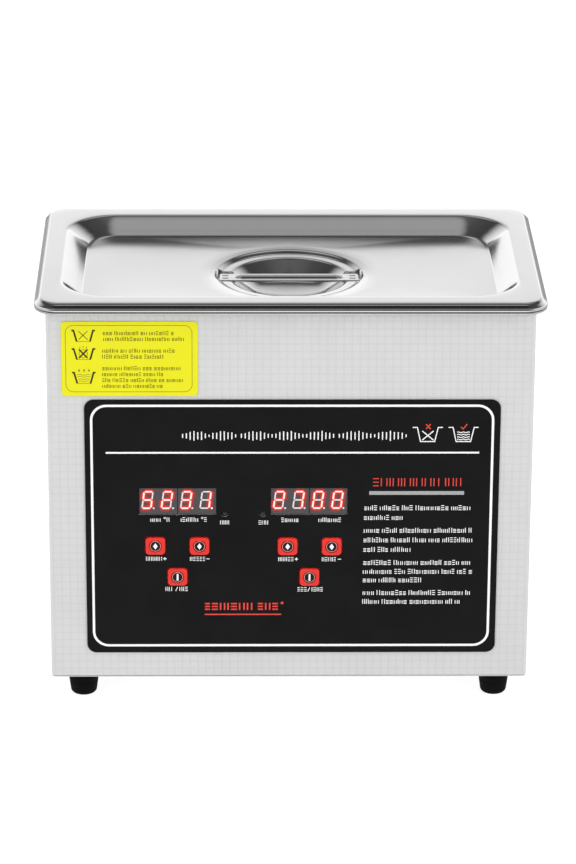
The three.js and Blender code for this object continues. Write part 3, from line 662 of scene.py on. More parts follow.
# ============================================================================ casing
def make_casing():
    """The wrap: a closed sheet whose outside carries the pressed grid of small squares."""
    hx, hy, r = 126.5, 75.0, 2.0
    z0, z1 = 15.0, 219.6
    depth = 0.13
    nx, ny, nz = 59, 35, 49

    def fractions(cells):
        """Positions along a side and how high each stands: 0 in a groove, 1 on a square."""
        pos, high = [], []
        for c in range(cells):
            pos += [c / cells, (c + 0.17) / cells, (c + 0.83) / cells]
            high += [0.0, 1.0, 1.0]
        pos.append(1.0)
        high.append(0.0)
        return pos, high

    px, gx = fractions(nx)
    py, gy = fractions(ny)
    corner = 4

    def loop(ax, ay, ar, z):
        pts = []
        sides = [
            ((ax - ar, -ay + ar), -90, (0, 1), 2 * (ay - ar), py),
            ((ax - ar, ay - ar), 0, (-1, 0), 2 * (ax - ar), px),
            ((-ax + ar, ay - ar), 90, (0, -1), 2 * (ay - ar), py),
            ((-ax + ar, -ay + ar), 180, (1, 0), 2 * (ax - ar), px),
        ]
        for (cx, cy), a0, (dx, dy), length, frac in sides:
            for k in range(corner):
                a = math.radians(a0 + 90 * k / corner)
                pts.append((cx + ar * math.cos(a), cy + ar * math.sin(a)))
            a = math.radians(a0 + 90)
            sx, sy = cx + ar * math.cos(a), cy + ar * math.sin(a)
            for f in frac[:-1]:
                pts.append((sx + dx * length * f, sy + dy * length * f))
        return np.array([(x, y, z) for x, y in pts])

    base = loop(hx, hy, r, 0)
    out = loop(hx + 1, hy + 1, r + 1, 0)
    normal = out - base
    normal /= np.linalg.norm(normal, axis=1)[:, None]
    g = []
    for frac in (gy, gx, gy, gx):
        g += [0.0] * corner + frac[:-1]
    g = np.array(g)

    # the lower edge ends in a folded hem with a fine gap above it
    rows = [loop(104, 52, 8, 14.0), loop(125.7, 74.2, 1.6, 14.0), loop(126.2, 74.7, 1.85, 14.12), loop(126.4, 74.9, 1.9, 14.35)]
    rows += [loop(126.2, 74.7, 1.8, 14.5), loop(125.0, 73.5, 0.8, 14.55), loop(125.0, 73.5, 0.8, 14.85), loop(126.4, 74.9, 1.9, 14.92)]
    relief_shade = [np.ones(len(g))] * 8
    cells = [((c + f) / nz, h) for c in range(nz) for f, h in ((0.0, 0.0), (0.17, 1.0), (0.83, 1.0))] + [(1.0, 0.0)]
    for t, h in cells:
        z = z0 + (z1 - z0) * t
        row = base.copy()
        row[:, 2] = z
        high = np.minimum(g, h)
        row += normal * (high * depth)[:, None]
        rows.append(row)
        relief_shade.append(high)
    top = base.copy()
    top[:, 2] = 220.2
    rows.append(top)
    rows.append(loop(126.3, 74.8, 1.8, 220.3))
    rows += [loop(125.5, 74, 1.0, 220.3), loop(125.5, 74, 1.0, 15.6), loop(124.9, 73.4, 0.6, 15.0), loop(104, 52, 8, 15.0)]
    relief_shade += [np.ones(len(g))] * 6
    verts = np.concatenate(rows)
    n = len(base)
    faces = []
    for k in range(len(rows)):
        a, b = k * n, ((k + 1) % len(rows)) * n
        i = np.arange(n)
        j = (i + 1) % n
        faces.append(np.stack([a + i, a + j, b + j, b + i], 1))
    faces = np.concatenate(faces)
    me = bpy.data.meshes.new("casing_shell")
    me.from_pydata((verts * MM).tolist(), [], faces.tolist())
    # per-vertex height of the pressed grid (0 in a groove, 1 on a square); the finish darkens the grooves with it as
    # painted shade
    at_ = me.attributes.new("relief_shade", "FLOAT", "POINT")
    at_.data.foreach_set("value", np.concatenate(relief_shade).astype(np.float32))
    ob = bpy.data.objects.new("casing_shell", me)
    scene.collection.objects.link(ob)
    outward(me)

    cuts = []
    for x0, x1 in ((-79.1, -38.7), (-10.15, 30.05)):
        cuts.append(slab((x1 - x0) / 2 + 0.3, 7.7, 0.6, -77, -72, 0, 0, 1, 3, (x0 + x1) / 2, 115.3, "Y"))
    for x, z in LED.values():
        cuts.append(prism(circle(1.85, 28, x, z), -77, -72, "Y"))
    for x, z in BUTTON.values():
        cuts.append(prism(rr(5.65, 5.65, 2, 5, x, z), -77, -72, "Y"))
    for i in range(6):
        cuts.append(prism(rr(26, 1.5, 1.49, 6, -62, 40 + 8 * i), 72, 77, "Y"))
    cuts.append(prism(rr(14.1, 16.4, 1.0, 3, 70, 52), 72, 77, "Y"))
    for x in (50, 90):
        cuts.append(prism(circle(1.9, 24, x, 52), 72, 77, "Y"))
    for sx in (-1, 1):
        for sy in (-1, 1):
            cuts.append(prism(circle(2.4, 24, sx * 110, sy * 61.5), 13, 16.5))
    boolean(ob, cuts)
    studs = []
    for x, z in STUDS:
        studs.append(lathe([(0, -74.2), (3, -74.2), (3, -67.5), (2.8, -67.3), (1.5, -67.3), (1.5, -62.3), (1.2, -62), (0, -62)], 24, (x, z), "Y"))
    boolean(ob, studs, "UNION")
    return dress(ob, [STEEL_EMBOSSED], "housing", ("casing",), smooth=28)


LED = {"heater_led": (-34.3, 108.3), "ultrasound_led": (-14.3, 108.2)}
BUTTON = {
    "temperature_up": (-70.8, 89.9),
    "temperature_down": (-47.6, 89.8),
    "heater_on_off": (-59.2, 72.2),
    "time_up": (-1.2, 89.6),
    "time_down": (22.0, 89.5),
    "ultrasound_on_off": (10.4, 72.0),
}
STUDS = ((-87, 63.5), (-87, 124), (39, 63.5), (39, 124))
make_casing()


# ============================================================================ base plate, feet
def make_base():
    ob = mesh_object("base_plate", *slab(125.2, 73.7, 1.2, 15.3, 16.5, 0.2, 0.2, 2, 4))
    outward(ob.data)
    add = []
    for sx in (-1, 1):
        for sy in (-1, 1):
            add.append(lathe(fillet([(0, 16.2), (5.2, 16.2), (4.5, 17.0), (4.5, 20.5), (0, 20.5)], 0.3), 28, (sx * 110, sy * 61.5)))
    for x, y in ((-90, -35), (-90, 40), (30, -35), (30, 40)):
        add.append(lathe([(0, 16.2), (3.4, 16.2), (3, 16.9), (3, 22.8), (2.8, 23), (1.5, 23), (1.5, 26.7), (1.2, 27), (0, 27)], 24, (x, y)))
    boolean(ob, add, "UNION")
    cuts = []
    for sx in (-1, 1):
        for sy in (-1, 1):
            cuts.append(prism(circle(2.3, 24, sx * 110, sy * 61.5), 14, 22))
    for cx in (-66, 66):
        for i in range(-2, 3):
            cuts.append(prism(rr(1.5, 24, 1.49, 6, cx + 8 * i, 0), 14, 18))
    boolean(ob, cuts)
    dress(ob, [STEEL_PLAIN], "housing", ("bottom_plate",), smooth=15)


def make_foot(name, x, y):
    outer = fillet(
        [(4.1, 0.0), (5.9, 0.0), (6.9, 1.0), (7.6, 6.0), (8.4, 12.7), (8.1, 13.7), (2.4, 13.7)],
        [0, 0.3, 0.6, 0.5, 0.5, 0.4, 0],
        4,
    )
    # two fine moulding grooves round the flank
    prof = []
    for r, z in outer:
        prof.append((r, z))
    i = max(k for k, p in enumerate(prof) if p[1] < 6.5)
    groove = [(7.72, 7.1), (7.5, 7.35), (7.78, 7.6), (8.12, 10.4), (7.9, 10.65), (8.2, 10.9)]
    prof = prof[: i + 1] + groove + prof[i + 1 :]
    prof += [(2.4, 4.7), (4.1, 4.7)]
    ob = piece("rubber_" + name, Build().add(lathe(prof, 56, (x, y), closed=True)), [RUBBER], "housing", (name,), smooth=40)
    return ob


def cross_recess(c, h0, h1, axis, size=1.9, width=0.55):
    """Two crossed blades that cut a driver recess."""
    return [
        prism(rr(size, width, 0.15, 1, c[0], c[1]), h0, h1, axis),
        prism(rr(width, size, 0.15, 1, c[0], c[1]), h0, h1, axis),
    ]


def thread(r, h0, h1, pitch=0.8, depth=0.22):
    """Rings of a coarse thread, as profile pairs from h0 to h1."""
    out, n = [], max(1, int(abs(h1 - h0) / pitch))
    for k in range(n):
        a, b = h0 + (h1 - h0) * k / n, h0 + (h1 - h0) * (k + 1) / n
        out += [(r - depth, a + (b - a) * 0.05), (r, a + (b - a) * 0.5), (r - depth, a + (b - a) * 0.95)]
    return out


def make_foot_screw(name, x, y):
    prof = [(0, 1.9), (2.4, 1.9)] + [(2.4 + 1.2 * math.sin(a), 1.9 + 1.0 * (1 - math.cos(a))) for a in (0.5, 0.9, 1.3, 1.57)]
    prof += [(3.6, 4.2), (3.45, 4.4), (2.0, 4.4), (2.0, 7.0)] + thread(2.0, 7.0, 20.4) + [(1.4, 21), (0, 21)]
    ob = mesh_object("screw_" + name, *lathe(prof, 32, (x, y)))
    outward(ob.data)
    boolean(ob, [cross_recess((x, y), 1.5, 3.1, "Z")[0]])
    boolean(ob, [cross_recess((x, y), 1.5, 3.1, "Z")[1]])
    dress(ob, [ZINC], "housing", (name,))


make_base()
for fx, sx in (("left", -1), ("right", 1)):
    for fy, sy in (("front", -1), ("rear", 1)):
        make_foot(f"foot_{fy}_{fx}", sx * 110.0, sy * 61.5)
        make_foot_screw(f"foot_screw_{fy}_{fx}", sx * 110.0, sy * 61.5)


# ============================================================================ drawn sheet: tank and lid
CORNER, SIDE = 20, 20


def sheet_loop(hx, hy, r, z):
    """A round-cornered loop with a fixed number of points on each corner and side."""
    pts = []
    cs = ((hx - r, -hy + r, -90), (hx - r, hy - r, 0), (-hx + r, hy - r, 90), (-hx + r, -hy + r, 180))
    for i, (cx, cy, a0) in enumerate(cs):
        for k in range(CORNER):
            a = math.radians(a0 + 90 * k / CORNER)
            pts.append((cx + r * math.cos(a), cy + r * math.sin(a)))
        a = math.radians(a0 + 90)
        nx, ny, na = cs[(i + 1) % 4]
        p = (cx + r * math.cos(a), cy + r * math.sin(a))
        q = (nx + r * math.cos(math.radians(na)), ny + r * math.sin(math.radians(na)))
        for k in range(SIDE):
            t = k / SIDE
            pts.append((p[0] + (q[0] - p[0]) * t, p[1] + (q[1] - p[1]) * t))
    return [(x, y, z) for x, y in pts]


BEARINGS = [math.atan2(y, x) for x, y, _ in sheet_loop(60, 60, 34, 0)]


def round_loop(r, z):
    return [(r * math.cos(a), r * math.sin(a), z) for a in BEARINGS]


def soften(points, cuts, seg=4):
    """Rounds the corners of a line through 4-D points (half x, half y, corner radius, z)."""
    out = [tuple(points[0])]
    for i in range(1, len(points) - 1):
        p, c, q = (np.array(points[k], float) for k in (i - 1, i, i + 1))
        lp = math.hypot(p[0] - c[0], p[3] - c[3])
        lq = math.hypot(q[0] - c[0], q[3] - c[3])
        d = min(cuts[i], 0.48 * lp, 0.48 * lq)
        if d < 1e-3:
            out.append(tuple(c))
            continue
        a, b = c + (p - c) * d / lp, c + (q - c) * d / lq
        for k in range(seg + 1):
            t = k / seg
            out.append(tuple(a * (1 - t) ** 2 + c * 2 * t * (1 - t) + b * t * t))
    out.append(tuple(points[-1]))
    return out


def make_tank():
    t = 1.2
    top = 222.0
    inner = soften(
        [(132.5, 81, 12, top), (123, 70.5, 33, top), (120.6, 68.1, 30.6, top - 2.0), (114.6, 62.1, 30, 142)],
        [0, 1.2, 1.6, 0],
        5,
    )
    # the wall runs down in steps, so that its light falls off smoothly
    wall0, wall1 = inner[-2], inner[-1]
    inner = inner[:-1] + [tuple(np.array(wall0) + (np.array(wall1) - np.array(wall0)) * k / 6) for k in range(1, 7)]
    for k in range(1, 9):
        a = math.radians(90 * k / 8)
        d = 20 * (1 - math.cos(a))
        inner.append((114.6 - d, 62.1 - d, 30 - d, 142 - 20 * math.sin(a)))
    inner += [(60, 26, 6, 122), (20, 9, 2.5, 122)]
    outer = [(132.5, 81, 12, top - 1.4), (123.3, 70.8, 33.2, top - 1.4), (121.8, 69.3, 31.8, top - 3.0), (115.8, 63.3, 31.2, 142)]
    outer = soften(outer, [0, 1.0, 1.0, 0], 4)
    for k in range(1, 7):
        a = math.radians(90 * k / 6)
        d = 21.2 * math.cos(a)
        outer.append((94.6 + d, 42.1 + d, 10 + d, 142 - 21.2 * math.sin(a)))
    outer += [(60, 26, 6, 120.8), (20, 9, 2.5, 120.8)]
    # a rounded flange edge
    edge = [(132.5, 81, 12, top - 0.15), (132.5, 81, 12, top - 0.4), (132.42, 80.92, 11.92, top - 0.75), (132.22, 80.72, 11.72, top - 1.15)]
    inner[0] = (132.35, 80.85, 11.85, top)
    outer[0] = (131.9, 80.4, 11.4, top - 1.4)
    loops = [sheet_loop(*p) for p in inner[::-1]] + [sheet_loop(*p) for p in edge] + [sheet_loop(*p) for p in outer]
    b = Build().add(loft(loops))
    piece("tank_pan", b, [STEEL_DRAWN], "housing", ("tank",), smooth=40)

    # silicone bead: a rounded triangular fillet laid in the corner under the flange
    loops = []
    for d, z in ((0.0, 217.7), (0.0, 220.1), (0.15, 220.3), (1.4, 220.3), (1.6, 220.1), (1.45, 219.2), (1.0, 218.2), (0.5, 217.6), (0.15, 217.5)):
        loops.append([(x, y, z) for x, y in rr(125.2 - d, 73.7 - d, max(0.9 - d, 0.2), 4)])
    piece("rim_bead", Build().add(loft(loops, close=True)), [SILICONE], "housing", ("rim_seal",), smooth=50)


SEAT = -14.05  # level of the handle's seats, below the rim
FLOOR = 12  # rings across the tray's floor


def make_lid():
    """Pressed lid: sloped edge, flat rim, sunk tray, dished finger bowl."""
    T = 0.9
    # (half x, half y, corner radius, height) of the upper skin, relative to the rim
    line = [(132.5, 81, 12, -4.1), (132.5, 81, 12, -2.75), (132.0, 80.66, 11.6, -2.3), (130.4, 79.95, 10.9, -0.75), (129.5, 78.65, 10.2, 0)]
    line += [(119.6, 66.9, 27.3, 0), (115.97, 63.68, 24.2, -3.0), (112.33, 60.98, 21.0, -6.0), (108.7, 58.75, 17.9, -9.0), (107.6, 57.75, 17.4, -9.06)]
    tray = soften(line, [0, 0.45, 0.3, 0.5, 0.6, 1.1, 1.3, 1.3, 0.7, 0], 5)
    # long flats get rings of their own, so that reflections bend smoothly
    rects = []
    for p, q in zip(tray, tray[1:]):
        span = math.hypot(q[0] - p[0], q[3] - p[3])
        k = max(1, min(4, int(span / 2.2)))
        rects += [tuple(np.array(p) + (np.array(q) - np.array(p)) * i / k) for i in range(k)]
    rects.append(tray[-1])
    circ = fillet(
        [(43.5, -10.47), (39.1, -10.95), (36.6, -12.45), (31.5, -12.6), (28.0, -15.05)],
        [0, 1.1, 0.9, 1.3, 0],
        5,
    )
    # extra rings across the flat of the ring, where the handle's seats are pressed
    ring = []
    for p, q in zip(circ, circ[1:]):
        k = max(1, int(math.hypot(q[0] - p[0], q[1] - p[1]) / 0.75))
        ring += [(p[0] + (q[0] - p[0]) * i / k, p[1] + (q[1] - p[1]) * i / k) for i in range(k)]
    circ = ring + [circ[-1]]
    circ += [(26.5, -16.1), (25.0, -17.1), (23.5, -18.1), (22.0, -19.0), (20.5, -19.85), (19.0, -20.55), (17.5, -21.05), (16.0, -21.42)]
    circ += [(14.0, -21.78), (12.0, -22.05), (10.0, -22.28), (8.0, -22.46), (6.0, -22.6), (4.0, -22.7), (1.8, -22.77)]

    loops_top = [sheet_loop(*p) for p in rects]
    prof = [(p[0], p[3]) for p in rects]
    # floor: blends from the tray's outline to the dish's circle
    last = np.array(sheet_loop(*rects[-1]))
    first = np.array(round_loop(*circ[0]))
    for k in range(1, FLOOR):
        t = k / FLOOR
        mid = last * (1 - t) + first * t
        # the floor hangs a little between its edges
        mid[:, 2] -= 0.9 * (1 - t) * (1 - (mid[:, 0] / 108) ** 4) * (1 - (mid[:, 1] / 58) ** 2)
        loops_top.append([tuple(v) for v in mid])
        prof.append((107.6 + (43.5 - 107.6) * t, rects[-1][3] + (circ[0][1] - rects[-1][3]) * t))
    for r, z in circ:
        loops_top.append(round_loop(r, z))
        prof.append((r, z))
    prof = np.array(prof)
    # the underside is the same line moved one sheet thickness along its normal
    tang = np.gradient(prof, axis=0)
    tang /= np.linalg.norm(tang, axis=1)[:, None]
    norm = np.stack([tang[:, 1], -tang[:, 0]], 1)  # to the underside
    norm[norm[:, 1] > 0] *= -1
    norm[0] = (-1, 0)
    loops_under = []
    nr = len(rects)
    for i, (lp, nn) in enumerate(zip(loops_top, norm)):
        if i < 2:
            nn = np.array((-1.0, 0.0))
        if i < nr:
            hx, hy, r, z = rects[i]
            loops_under.append(sheet_loop(hx + nn[0] * T, hy + nn[0] * T, max(r + nn[0] * T, 1.0), z + nn[1] * T))
        else:
            a = np.array(lp)
            rad = np.linalg.norm(a[:, :2], axis=1)[:, None]
            b = a.copy()
            b[:, :2] += a[:, :2] / rad * nn[0] * T * (1 if i >= nr + FLOOR - 1 else 0)
            b[:, 2] += nn[1] * T
            loops_under.append([tuple(v) for v in b])
    lip = [sheet_loop(132.35, 80.85, 11.85, -4.2), sheet_loop(131.75, 80.25, 11.25, -4.2)]
    loops = loops_top[::-1] + lip + loops_under
    verts, faces = loft(loops)

    def ramp(v, lo, hi):
        t = min(1.0, max(0.0, (v - lo) / (hi - lo)))
        return 1 - t * t * (3 - 2 * t)

    # two seats pressed into the ring for the ends of the handle
    out = []
    upper = len(loops_top) * len(loops_top[0])
    for i, (x, y, z) in enumerate(verts):
        r = math.hypot(x, y)
        if 27 < r < 41 and z > -20:
            skin = z if i < upper else z + T
            drop = max(0.0, skin - SEAT) * ramp(abs(y), 5.75, 7.4) * ramp(r, 38.3, 39.6)
            z -= drop
        out.append((x, y, z + H))
    b = Build().add((out, faces))
    piece("lid_pan", b, [STEEL_POLISHED], "lid", ("lid",), smooth=60)


def make_handle():
    """A strip with a pressed rib, spot-welded to the ring at both ends."""
    L, W, RC = 37.0, 5.5, 1.2
    top, bottom = SEAT + 1.25, SEAT + 0.05
    xs = sorted(set([-L, -L + 0.06, -L + 0.18, -L + 0.35, L - 0.35, L - 0.18, L - 0.06, L] + [round(-36.4 + 72.8 * k / 154, 4) for k in range(155)]))
    edge = [0.0, 0.01, 0.03, 0.065]
    vs = sorted(set([-1 + e for e in edge] + [1 - e for e in edge] + [round(-0.9 + 1.8 * k / 30, 4) for k in range(31)]))

    def half(x):
        d = abs(x) - (L - RC)
        return W if d <= 0 else W - RC + math.sqrt(max(RC * RC - d * d, 0))

    def rib(x, y):
        run = min(1.0, max(0.0, (29.6 - abs(x)) / 5.0))
        run = run * run * (3 - 2 * run)
        w = 3.3 * (0.35 + 0.65 * math.sqrt(run)) if run > 0 else 0.01
        t = abs(y) / w
        if t >= 1 or run <= 0:
            return 0.0
        return 1.2 * run * (math.cos(t * math.pi / 2) ** 1.15)

    def weld(x, y):
        """Electrode marks: two short sunk slots near each end."""
        s = 0.0
        for cy in (-2.1, 2.1):
            d = math.hypot(max(abs(abs(x) - 33.9) - 0.9, 0), y - cy)
            s += 0.32 * max(0.0, 1 - (d / 0.75) ** 2)
        return s

    verts, faces = [], []
    nx, nv = len(xs), len(vs)
    for side in (1, -1):
        for x in xs:
            for v in vs:
                y = v * half(x)
                e = min((1 - abs(v)) * half(x), L - abs(x))
                b = 0.32
                drop = b - math.sqrt(max(b * b - max(b - e, 0) ** 2, 0))
                if side > 0:
                    z = top - drop + rib(x, y) - weld(x, y)
                else:
                    z = bottom + drop + rib(x, y) * 0.72
                verts.append((x, y, z + H))
    off = nx * nv
    for i in range(nx - 1):
        for j in range(nv - 1):
            a = i * nv + j
            faces.append((a, a + nv, a + nv + 1, a + 1))
            faces.append((off + a, off + a + 1, off + a + nv + 1, off + a + nv))
    rim = [i * nv for i in range(nx)] + [(nx - 1) * nv + j for j in range(1, nv)]
    rim += [i * nv + nv - 1 for i in range(nx - 2, -1, -1)] + [j for j in range(nv - 2, 0, -1)]
    for k in range(len(rim)):
        a, b = rim[k], rim[(k + 1) % len(rim)]
        faces.append((a, b, off + b, off + a))
    piece("lid_bar_handle", Build().add((verts, faces)), [STEEL_POLISHED], "lid", ("lid_handle",), smooth=50)


make_tank()
make_lid()
make_handle()


# ============================================================================ panel film and its printing
INK = FILM - 0.045  # front of the ink
BACK = FILM + 0.02  # buried back of the ink


def greek(b, x0, x1, z0, z1, y0, y1, mat=0, seed=1, caps=False, words=None, weight=0.15, spread=1.0):
    """Stands for a line of wording: letter-sized groups of short strokes, no letterforms."""
    g = random.Random(seed)
    h = z1 - z0
    s = weight * h
    x = x0
    left = g.randint(3, 8) if words is None else words[0]
    wi = 0
    while x < x1 - 0.5 * h:
        tall = h if (caps or g.random() < 0.28) else 0.74 * h
        kind = g.random()
        w = (0.50 + 0.16 * g.random()) * h * spread
        w = min(w, x1 - x)
        if kind < 0.16:
            b.bar(x, x + s * 1.1, z0, z0 + tall, y0, y1, 0, mat)
            w = s * 1.1
        elif kind < 0.62:
            b.bar(x, x + s, z0, z0 + tall, y0, y1, 0, mat)
            b.bar(x + w - s, x + w, z0, z0 + tall, y0, y1, 0, mat)
        else:
            for k in range(3):
                zc = z0 + s / 2 + (tall - s) * k / 2
                b.bar(x, x + w, zc - s / 2, zc + s / 2, y0, y1, 0, mat)
        x += w + 0.20 * h * spread
        left -= 1
        if left <= 0:
            x += 0.36 * h * spread
            wi += 1
            left = g.randint(2, 9) if words is None else words[wi % len(words)]
    return b


def tank_icon(b, x0, x1, z0, z1, wall, width, y0, y1, foot=None, mat=0, base_width=None, base_mat=None):
    """A tank in section: two short lips, two leaning walls and a floor."""
    lip, lean = wall
    if foot is None:
        b.line([(x0, z1), (x0 + lip, z1), (x0 + lip + lean, z0), (x1 - lip - lean, z0), (x1 - lip, z1), (x1, z1)], width, y0, y1, mat)
    else:
        b.line([(x0, z1), (x0 + lip, z1), (x0 + lip + lean, z0)], width, y0, y1, mat)
        b.line([(x1 - lip - lean, z0), (x1 - lip, z1), (x1, z1)], width, y0, y1, mat)
        b.bar(x0 + lip + lean, x1 - lip - lean, z0 - base_width / 2, z0 + base_width / 2, y0 + 0.01, y1, 0, base_mat)


def wave(x0, x1, z, amp, periods, phase=0.0, n=24):
    return [(x0 + (x1 - x0) * k / n, z + amp * math.sin(phase + 2 * math.pi * periods * k / n)) for k in range(n + 1)]


def make_panel():
    cx, cz, hx, hz = 1.0, 99.95, 108.3, 71.65
    ob = mesh_object("panel_film", *slab(hx, hz + 0.2, 5.0, -75.8, -75.3, 0.08, 0.0, 1, 10, cx, cz + 0.55, "Y"))
    outward(ob.data)
    cuts = []
    for x0, x1 in ((-79.1, -38.7), (-10.15, 30.05)):
        cuts.append(prism(rr((x1 - x0) / 2 + 0.3, 7.7, 0.5, 3, (x0 + x1) / 2, 115.3), -77, -74.5, "Y"))
    for x, z in LED.values():
        cuts.append(prism(circle(1.85, 28, x, z), -77, -74.5, "Y"))
    for x, z in BUTTON.values():
        cuts.append(prism(rr(5.65, 5.35, 2, 5, x, z + 0.3), -77, -74.5, "Y"))
    boolean(ob, cuts)
    dress(ob, [OVERLAY], "housing", ("panel_overlay",), smooth=40)

    y0, y1 = INK, BACK
    w = Build()
    # border line
    for_rings = []
    for inset, rad in ((2.95, 8.6), (4.2, 7.4)):
        for_rings.append(rr(hx - inset - 0.2, hz - inset, rad, 12, cx - 0.15, cz + 1.0))
    a, c = for_rings
    w.add(loft([[at(u, v, y0, "Y") for u, v in a], [at(u, v, y1, "Y") for u, v in a], [at(u, v, y1, "Y") for u, v in c], [at(u, v, y0, "Y") for u, v in c]], close=True))
    # rule
    w.bar(-96.3, 98.5, 142.35, 143.3, y0, y1, 0.05)
    # title: three bursts of a sound wave
    mid = 152.3
    for a0, a1, lobes in ((-56.2, -28.6, 2), (-25.6, 22.4, 3), (25.4, 60.2, 2)):
        n = int((a1 - a0) / 1.94)
        for k in range(n + 1):
            t = k / n
            x = a0 + (a1 - a0) * t
            env = 0.30 + 0.70 * abs(math.sin(math.pi * lobes * (t * 0.96 + 0.02)))
            fine = 0.86 + 0.14 * math.cos(k * 2.4)
            half = 2.9 * env * fine
            w.bar(x - 0.29, x + 0.29, mid - half, mid + half, y0, y1, 0.27)
    # two tank pictograms
    tank_icon(w, 63.6, 79.3, 149.05, 156.95, (2.4, 1.75), 0.52, y0, y1)
    w.line([(68.6, 154.95), (74.5, 149.85)], 0.56, y0 - 0.006, y1)
    w.line([(74.5, 154.95), (68.6, 149.85)], 0.56, y0 - 0.003, y1)
    tank_icon(w, 82.3, 97.9, 149.05, 156.95, (2.3, 1.7), 0.52, y0, y1)
    for z in (154.2, 152.9, 151.5, 150.2):
        w.line(wave(86.8, 93.4, z, 0.22, 2.5), 0.46, y0, y1)
    # captions
    s = 0
    for x0, x1, z0, z1 in (
        (-73.3, -62.6, 103.95, 106.4),
        (-57.4, -42.9, 103.95, 106.4),
        (-4.6, 5.9, 103.75, 106.2),
        (14.9, 26.8, 103.75, 106.2),
        (-36.7, -31.4, 102.4, 104.7),
        (-16.6, -11.2, 102.3, 104.6),
        (-75.8, -65.0, 81.7, 84.0),
        (-52.6, -42.3, 81.6, 83.9),
        (-6.1, 4.3, 81.4, 83.7),
        (16.9, 27.0, 81.3, 83.6),
        (-65.6, -52.5, 64.3, 66.7),
        (4.1, 17.5, 64.0, 66.4),
    ):
        s += 1
        mz = (z0 + z1) / 2
        if 85 > z1 > 80:
            # up and down keys: the caption ends in a plus or a minus
            greek(w, x0, x1 - 2.4, z0, z1, y0, y1, 0, 40 + s, caps=True, words=[9], weight=0.15)
            w.bar(x1 - 1.7, x1, mz - 0.21, mz + 0.21, y0, y1, 0)
            if x0 in (-75.8, -6.1):
                w.bar(x1 - 1.06, x1 - 0.64, mz - 0.85, mz + 0.85, y0 - 0.003, y1, 0)
        elif z1 < 70:
            # on and off: two groups and a stroke between them
            xm = (x0 + x1) / 2 - 1.2
            greek(w, x0, xm - 0.6, z0, z1, y0, y1, 0, 40 + s, caps=True, words=[9], weight=0.15)
            w.line([(xm, z0), (xm + 1.1, z1)], 0.4, y0, y1)
            greek(w, xm + 2.0, x1, z0, z1, y0, y1, 0, 60 + s, caps=True, words=[9], weight=0.15)
        elif z0 > 103.9:
            # temperatures: a degree ring and one more stroke group
            greek(w, x0, x1 - 5.2, z0, z1, y0, y1, 0, 40 + s, words=[9], weight=0.15)
            w.line(circle(0.42, 14, x1 - 3.2, z1 - 0.35), 0.26, y0, y1, closed=True)
            greek(w, x1 - 2.2, x1, z0, z1, y0, y1, 0, 60 + s, caps=True, words=[9], weight=0.15)
        else:
            greek(w, x0, x1, z0, z1, y0, y1, 0, 40 + s, caps=z0 < 103, words=[9], weight=0.15)
    # ten lines of guidance
    rows = (
        (38.9, 96.0, 110.4, 113.1), (38.8, 59.8, 104.9, 107.6), (38.8, 96.2, 97.6, 100.3), (38.7, 96.4, 92.15, 94.85), (38.7, 64.2, 86.7, 89.4),
        (38.7, 96.2, 79.2, 81.9), (38.6, 96.6, 74.1, 76.8), (38.6, 71.3, 69.2, 71.9), (38.6, 96.4, 61.9, 64.6), (38.5, 91.0, 56.8, 59.5),
    )
    for i, (x0, x1, z0, z1) in enumerate(rows):
        greek(w, x0, x1, z0, z1, y0, y1, 0, 100 + i, weight=0.145)
    piece("panel_print_white", w, [PRINT_WHITE], "housing", smooth=20)

    r = Build()
    greek(r, 43.3, 91.4, 123.95, 128.5, y0, y1, 0, 77, caps=True, words=[10, 3], weight=0.115, spread=1.2)
    greek(r, -44.8, -6.0, 53.3, 57.4, y0, y1, 0, 78, caps=True, words=[7, 3], weight=0.20, spread=1.25)
    r.bar(-4.75, -3.2, 56.6, 58.1, y0, y1, 0.72)
    r.bar(-45.0, -4.4, 50.4, 51.15, y0, y1, 0.3)
    # a cross and a tick over the pictograms
    r.line([(70.5, 158.75), (72.9, 156.05)], 0.60, y0, y1)
    r.line([(72.9, 158.75), (70.5, 156.05)], 0.60, y0 - 0.004, y1)
    r.line([(88.7, 157.25), (89.8, 156.05), (91.9, 158.75)], 0.60, y0, y1)
    piece("panel_print_red", r, [PRINT_RED], "housing", smooth=20)

    g = Build()
    g.bar(41.4, 91.1, 119.1, 121.15, y0, y1, 0.1)
    piece("panel_print_grey", g, [PRINT_GREY], "housing", smooth=20)


